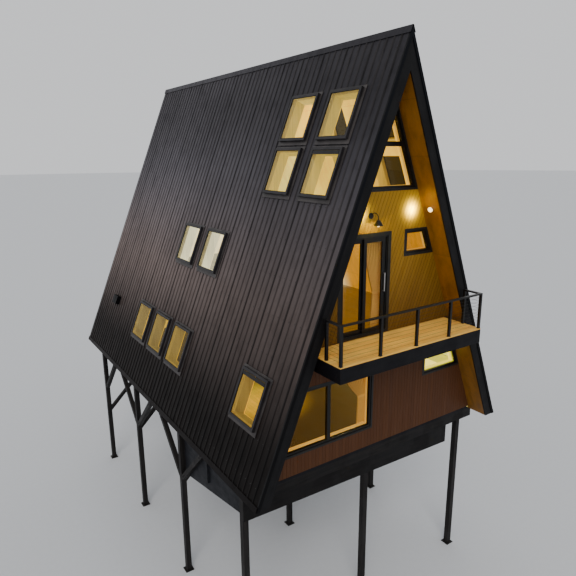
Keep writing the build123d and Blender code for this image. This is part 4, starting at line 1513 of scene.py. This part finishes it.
def add_slope_block(shape, side, back, slope, width, height, low, high):
    """Block lying on a slope."""
    corners = [
        shape.verts.new(on_slope(side, back + dx * width / 2, slope + dy * height / 2, rise))
        for rise in (low, high) for dx, dy in ((-1, -1), (1, -1), (1, 1), (-1, 1))
    ]
    for face in block_faces:
        shape.faces.new([corners[i] for i in face])


def add_slope_frame(shape, side, back, slope, width, height, bar, low, high):
    """Four bars lying on a slope round an opening."""
    for sign in (-1, 1):
        off_back, off_slope = sign * (width - bar) / 2, sign * (height - bar) / 2
        add_slope_block(shape, side, back + off_back, slope, bar, height, low, high)
        add_slope_block(shape, side, back, slope + off_slope, width - 2 * bar, bar, low, high)


def window_frames(name, draw_in, bar, low, high):
    """Mesh of a flat frame at every roof window."""
    shape = bmesh.new()
    width, height = window_width - draw_in, window_height - draw_in
    for side in (-1, 1):
        for back, slope in window_places:
            add_slope_frame(shape, side, back, slope, width, height, bar, low, high)
    return mesh_of(name, shape)


print("roof windows in a slope:", len(window_places))

# %% Roof window liners, gaskets and vent bars
liner_bar, liner_low, clearance = 0.006, -0.028, 0.001
gasket_bar, gasket_depth = 0.012, 0.005
vent_bar, vent_bar_depth, vent_from_top, vent_inset = 0.09, 0.009, 0.063, 0.034
roof_liner = liner_paint("roof_liner_paint", (150, 142, 112), (172, 162, 130))
liner_mesh = window_frames(
    "roof_window_liners", 2 * clearance, liner_bar, liner_low, pane_top - pane_depth - clearance
)
place_piece("roof_window_liners", liner_mesh, roof_liner, "curtain_cloth")
gasket_mesh = window_frames("gaskets", 0, gasket_bar, pane_top, pane_top + gasket_depth)
place_piece("roof_window_gaskets", gasket_mesh, rubber, "black_metal")
bars = bmesh.new()
for side in (-1, 1):
    for back, slope in ((loft_backs[0], loft_slopes[0]), near_window):
        add_slope_block(
            bars, side, back, slope + window_height / 2 - vent_from_top,
            window_width - vent_inset, vent_bar, pane_top, pane_top + vent_bar_depth,
        )
place_piece("roof_window_vent_bars", mesh_of("vent_bars", bars), black_paint, "roof_window_frame")

# %% [markdown]
# ## Roof screws
# The sheet is held by coloured screws with a washer, one beside each rib in rows up the slope. The
# tree lays a grid of points over the slope and drops each one on to the sheet with a ray. A ray
# that meets a window or the ridge stops at another depth, so its point is thrown away.

# %% Screw tree
tree, given = growth(
    "Sheet Screws", Corner=VECTOR, Turn=VECTOR, Inwards=VECTOR, Length=VALUE, Height=VALUE,
    Across=INTEGER, Up=INTEGER, Depth=VALUE, Washer=VALUE, Head=VALUE,
)
grid_size = {0: given["Height"], 1: given["Length"], 2: given["Up"], 3: given["Across"]}
grid = moved(
    tree, result(tree, "GeometryNodeMeshGrid", grid_size), given["Corner"], given["Turn"]
)
ray = node(
    tree, "GeometryNodeRaycast",
    {"Target Geometry": given["Geometry"], "Ray Direction": given["Inwards"], "Ray Length": 1.0},
)
miss = calc(tree, "ABSOLUTE", minus(tree, ray.outputs["Hit Distance"], given["Depth"]))
wrong = {"Geometry": grid, "Selection": above(tree, miss, 0.003)}
kept = result(tree, "GeometryNodeDeleteGeometry", wrong, domain="POINT")
fall = {0: given["Inwards"], "Scale": given["Depth"]}
drop = result(tree, "ShaderNodeVectorMath", fall, operation="SCALE")
kept = result(tree, "GeometryNodeSetPosition", {"Geometry": kept, "Offset": drop})
washer = tapered(tree, 10, given["Washer"], 0.8, 0.003)
head = tapered(tree, 6, given["Head"], 0.94, 0.009)
spin = result(tree, "FunctionNodeEulerToRotation", {0: given["Turn"]})
screws = result(
    tree, "GeometryNodeInstanceOnPoints",
    {"Points": kept, "Instance": joined(tree, washer, head), "Rotation": spin},
)
screw_tree = end_growth(tree, screws, given["Material"])

# %% Screws on both slopes
screw_start, screw_rows, screw_spacing = 0.42, 12, 0.9
rib_count, beside_rib, ray_start = 60, 0.052, 0.4
screws_length, screws_height = (rib_count - 1) * rib_pitch, (screw_rows - 1) * screw_spacing
middle_back = first_rib - rake_face + beside_rib + screws_length / 2
sheet_host = solid_copy(
    "roof_metal", "roof_window_frames", "roof_window_flashings", "ridge_cap", "vent_hood"
)
screw_paint = painted_metal("screw_paint", (30, 29, 31), (44, 42, 44), 0.4)
screw_shape = bmesh.new()
for side in (-1, 1):
    up = Vector((-side * up_slope.x, 0, up_slope.z))
    away = Vector((side * math.sin(slope_angle), 0, math.cos(slope_angle)))
    made = grown(
        screw_tree, sheet_host.copy(), Inwards=-away, Depth=ray_start,
        Corner=on_slope(side, middle_back, screw_start + screws_height / 2, ray_start),
        Turn=Matrix((up, away.cross(up), away)).transposed().to_euler(),
        Length=screws_length, Height=screws_height, Across=rib_count, Up=screw_rows,
        Washer=0.011, Head=0.0055, Material=screw_paint,
    )
    screw_shape.from_mesh(made)
place_piece("roof_screws", mesh_from("roof_screws", screw_shape), screw_paint, "roof_metal")

# %% [markdown]
# ## Bolts and fittings
# Bolts clamp the braces to the legs and the legs to their foot plates, and each cable ends in a
# small sleeve at a post. Every one sits on a point that knows which way it faces, so one tree can
# place them all: the host is a cloud of points with a direction stored on each.

# %% Fixing tree
tree, given = growth(
    "Fixings", Base_Radius=VALUE, Base_Depth=VALUE, Head_Radius=VALUE, Head_Depth=VALUE,
    Head_Sides=INTEGER,
)
facing = result(
    tree, "GeometryNodeInputNamedAttribute", {"Name": "facing"}, data_type="FLOAT_VECTOR"
)
rotation = result(tree, "FunctionNodeAlignRotationToVector", {"Vector": facing}, axis="Z")
plate = {"Vertices": 16, "Radius": given["Base Radius"], "Depth": given["Base Depth"]}
plate = result(tree, "GeometryNodeMeshCylinder", plate)
base = moved(tree, plate, vector(tree, 0.0, 0.0, times(tree, given["Base Depth"], 0.5)))
stud = tapered(tree, given["Head Sides"], given["Head Radius"], 0.88, given["Head Depth"])
head = moved(tree, stud, vector(tree, 0.0, 0.0, given["Base Depth"]))
placed = result(
    tree, "GeometryNodeInstanceOnPoints",
    {"Points": given["Geometry"], "Instance": joined(tree, base, head), "Rotation": rotation},
)
fixing_tree = end_growth(tree, placed, given["Material"])


def fixings(name, places, base, head, sides):
    """Fixings at (point, direction) places; base and head are (radius, depth)."""
    host = bpy.data.meshes.new("places")
    host.from_pydata([point for point, _ in places], [], [])
    ways = host.attributes.new("facing", "FLOAT_VECTOR", "POINT")
    for value, (_, way) in zip(ways.data, places):
        value.vector = way
    mesh = grown(
        fixing_tree, host, Base_Radius=base[0], Base_Depth=base[1], Head_Radius=head[0],
        Head_Depth=head[1], Head_Sides=sides, Material=black_paint,
    )
    place_piece(name, mesh, None, "black_metal")


# %% Bolts in legs and braces
leg_low, leg_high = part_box("legs")
plate_half, leg_half, plate_top, anchor_off = 0.13, 0.075, 0.02, 0.095
leg_x = leg_high.x - plate_half
first_row, last_row = leg_low.y + plate_half, leg_high.y - plate_half
second_row = spot(0, 4.75, 0).y
third_row = (second_row + last_row) / 2
anchors = [
    (Vector((x + dx * anchor_off, y + dy * anchor_off, plate_top)), Vector((0, 0, 1)))
    for x in (-leg_x, 0, leg_x)
    for y in (first_row, second_row, third_row, last_row)
    for dx in (-1, 1)
    for dy in (-1, 1)
]
fixings("foot_anchor_bolts", anchors, (0.018, 0.003), (0.013, 0.022), 6)

leg_top = foot - 0.3
knee_run, knee_half, knee_toe = 1.55, 0.065, 0.092
bolt_shares = (0.05, 0.11, 0.89, 0.95)
brace_bolts = []
for side in (-1, 1):
    outer_face = side * (leg_x + knee_half)
    for y, ways in ((second_row, (-1, 1)), (third_row, (-1, 1)), (last_row, (-1,))):
        for way in ways:
            low_end = Vector((outer_face, y + way * leg_half, leg_top - knee_run + knee_toe))
            high_end = low_end + Vector((0, way * (knee_run - knee_toe), knee_run - knee_toe))
            for share in bolt_shares:
                brace_bolts.append((low_end.lerp(high_end, share), Vector((side, 0, 0))))
fixings("brace_bolts", brace_bolts, (0.026, 0.004), (0.017, 0.018), 6)

# %% Cable sleeves and post feet
guard_low, guard_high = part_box("front_guard")
guard_height, rail_depth, cable_count, post_count = 0.914, 0.04, 9, 5
post_half, rake_gap, foot_half, foot_depth = 0.03, 0.04, 0.04, 0.008
post_line, post_side = guard_low.y + post_half, guard_high.x - post_half
rear_post = rake_face - rake_gap - post_half
deck_top = guard_low.z
posts = [post_side * (2 * number / (post_count - 1) - 1) for number in range(post_count)]
cable_step = (guard_height - rail_depth) / (cable_count + 1)
sleeves = []
for z in [deck_top + cable_step * (number + 1) for number in range(cable_count)]:
    for number, x in enumerate(posts):
        if number < post_count - 1:
            sleeves.append((Vector((x + post_half, post_line, z)), Vector((1, 0, 0))))
        if number > 0:
            sleeves.append((Vector((x - post_half, post_line, z)), Vector((-1, 0, 0))))
    for x in (-post_side, post_side):
        sleeves.append((Vector((x, post_line + post_half, z)), Vector((0, 1, 0))))
        sleeves.append((Vector((x, rear_post - post_half, z)), Vector((0, -1, 0))))
fixings("cable_sleeves", sleeves, (0.007, 0.003), (0.0045, 0.03), 10)

feet = bmesh.new()
for x, y in [(x, post_line) for x in posts] + [(-post_side, rear_post), (post_side, rear_post)]:
    low = (x - foot_half, y - foot_half, deck_top)
    add_box(feet, low, (x + foot_half, y + foot_half, deck_top + foot_depth))
bmesh.ops.bevel(feet, geom=feet.edges[:], offset=0.002, segments=2, affect="EDGES")
place_piece("guard_post_feet", mesh_of("guard_post_feet", feet), black_paint, "black_metal")

# %% [markdown]
# ## Curtains
# A cream curtain hangs inside the balcony door and another inside the wide window, each drawn to
# one side and held by a tie. Cloth keeps its width, so where a curtain is drawn in it can only fold
# deeper: each level is a wave whose length along the cloth stays the same. The rows of the mesh are
# worked out from that rule, which costs no simulation and always comes out alike.

# %% Curtain cloth
cloth, tree, shader = finish("curtain_cloth")
place = object_place(tree)
threads = {"Vector": place, "Scale": 260.0}
weft, warp = (
    node(tree, "ShaderNodeTexWave", threads, bands_direction=way).outputs["Fac"]
    for way in ("Z", "X")
)
slub = noise(tree, place, 24.0, 4.0)
# The backs of the folds are darkened: painted shade in the pleats' hollows.
fold_front, fold_back = wall_back + 0.062, wall_back + 0.1
painted_fold_shade = spread(tree, parts_of(tree, place)["Y"], fold_front, fold_back)
colour = between(tree, slub, (204, 180, 120), (224, 202, 146))
colour = stained(tree, colour, painted_fold_shade, 0.75, (92, 66, 26))
feed(
    tree, shader,
    Base_Color=colour,
    Roughness=opened(tree, slub, 0.8, 0.95),
    Normal=bump(tree, calc(tree, "MAXIMUM", weft, warp), 0.0004, 0.4),
    # The cloth glows with the room's light: painted room light.
    Emission_Color=blend(tree, 1.0, colour, room_light(tree, place), "MULTIPLY"),
    Emission_Strength=0.3,
    Sheen_Weight=0.2,
)
print("cloth:", cloth.name)


# %% Pleats
curtain_y = wall_back + 0.08
fold_count, most_depth = 11, 0.027
slow_sway, quick_sway = 0.12, 0.07
tie_ease, tie_half_depth, tie_squareness, tie_tilt = 0.008, 0.034, 0.7, 0.012


def wave_length(width, depth, steps=240):
    """Length along a wave of folds of a width and a depth."""
    points = [
        (width * i / steps, depth * math.sin(2 * math.pi * fold_count * i / steps))
        for i in range(steps + 1)
    ]
    return sum(math.dist(a, b) for a, b in zip(points, points[1:]))


def fold_depth(width, cloth_width, halvings=30):
    """Depth of fold that takes up a cloth's width in a narrower span, found by halving."""
    low, high = 0.0, 0.5
    for _ in range(halvings):
        depth = (low + high) / 2
        if wave_length(width, depth) < cloth_width:
            low = depth
        else:
            high = depth
    return depth


def hung_curtain(name, levels, cloth_width, rows=44):
    """Pleated sheet; levels are (height, left, right) from the rod down."""
    shape = bmesh.new()
    steps = fold_count * 10
    top, bottom = levels[0][0], levels[-1][0]
    grid = []
    for row in range(rows + 1):
        z = top + (bottom - top) * row / rows
        upper, lower = next((a, b) for a, b in zip(levels, levels[1:]) if a[0] >= z >= b[0] - 1e-9)
        share = (upper[0] - z) / (upper[0] - lower[0])
        ease = share ** 1.5 if upper is levels[0] else share * share * (3 - 2 * share)
        left, right = (a + (b - a) * ease for a, b in zip(upper[1:], lower[1:]))
        depth = min(fold_depth(right - left, cloth_width), most_depth)
        line = []
        for u in [step / steps for step in range(steps + 1)]:
            sway = slow_sway * math.sin(5.1 * u + 2.3 * share)
            sway += quick_sway * math.sin(11.0 * u + row * 0.05)
            y = curtain_y + depth * math.sin(2 * math.pi * fold_count * u + sway)
            line.append(shape.verts.new((left + (right - left) * u, y, z)))
        grid.append(line)
    for upper_line, lower_line in zip(grid, grid[1:]):
        for quad in zip(upper_line, upper_line[1:], lower_line[1:], lower_line):
            shape.faces.new(quad)
    print(name, "area", round(sum(face.calc_area() for face in shape.faces), 3), "square metres")
    bmesh.ops.recalc_face_normals(shape, faces=shape.faces)
    return smoothed(mesh_from(name, shape))


def tie_band(name, level, steps=40):
    """Band of cloth round a gathered curtain, pinched in along both its edges."""
    z, left, right = level
    middle, half_x = (left + right) / 2, (right - left) / 2 + tie_ease
    angles = [2 * math.pi * step / steps for step in range(steps)]
    shape = bmesh.new()
    rings = []
    for rise, pinch in ((-0.03, 0.004), (-0.022, 0.0), (0.022, 0.0), (0.03, 0.004)):
        ring = []
        for a in angles:
            x, y = (
                math.copysign(abs(part) ** tie_squareness, part)
                for part in (math.cos(a), math.sin(a))
            )
            point = (middle + (half_x - pinch) * x, curtain_y + (tie_half_depth - pinch) * y)
            ring.append(shape.verts.new((*point, z + rise + tie_tilt * math.cos(a))))
        rings.append(ring)
    join_rings(shape, rings)
    return smoothed(mesh_of(name, shape))


print("a metre at the deepest fold takes", round(wave_length(1.0, most_depth), 2), "m of cloth")


# %% Curtains and ties
def curtain_levels(node_name, tie_height, tie_span, foot_span):
    """Levels of a curtain from the box of its solid: rod, tie and foot."""
    low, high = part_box(node_name)
    return [(high.z, low.x, high.x), (foot + tie_height, *tie_span), (low.z, *foot_span)]


door_levels = curtain_levels("door_curtain", 4.08, (-0.124, 0.136), (-0.184, 0.156))
window_levels = curtain_levels("window_curtain", 1.42, (-0.510, -0.250), (-0.550, -0.230))
door_sheet = hung_curtain("door_curtain_cloth", door_levels, 1.25)
window_sheet = hung_curtain("window_curtain_cloth", window_levels, 1.35)
door_cloth = place_piece("door_curtain_cloth", door_sheet, cloth, "curtain_cloth", "door_curtain")
window_cloth = place_piece(
    "window_curtain_cloth", window_sheet, cloth, "curtain_cloth", "window_curtain"
)
door_tie, window_tie = (
    place_piece(name, tie_band(name, levels[1]), cloth, "curtain_cloth")
    for name, levels in (("door_curtain_tie", door_levels), ("window_curtain_tie", window_levels))
)

# %% [markdown]
# ## Sizes
# The box of the dressed cabin is worked out beside the box of the solids, and both are printed.
# The dressed cabin must stay in the box of the solids.

# %% Sizes
dressed_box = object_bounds()
boxes = {
    "cad": [[float(v) for v in corner] for corner in cad_box],
    "visual": [[float(v) for v in corner] for corner in dressed_box],
}
for name, corners in boxes.items():
    print(name, [[round(v, 4) for v in corner] for corner in corners])
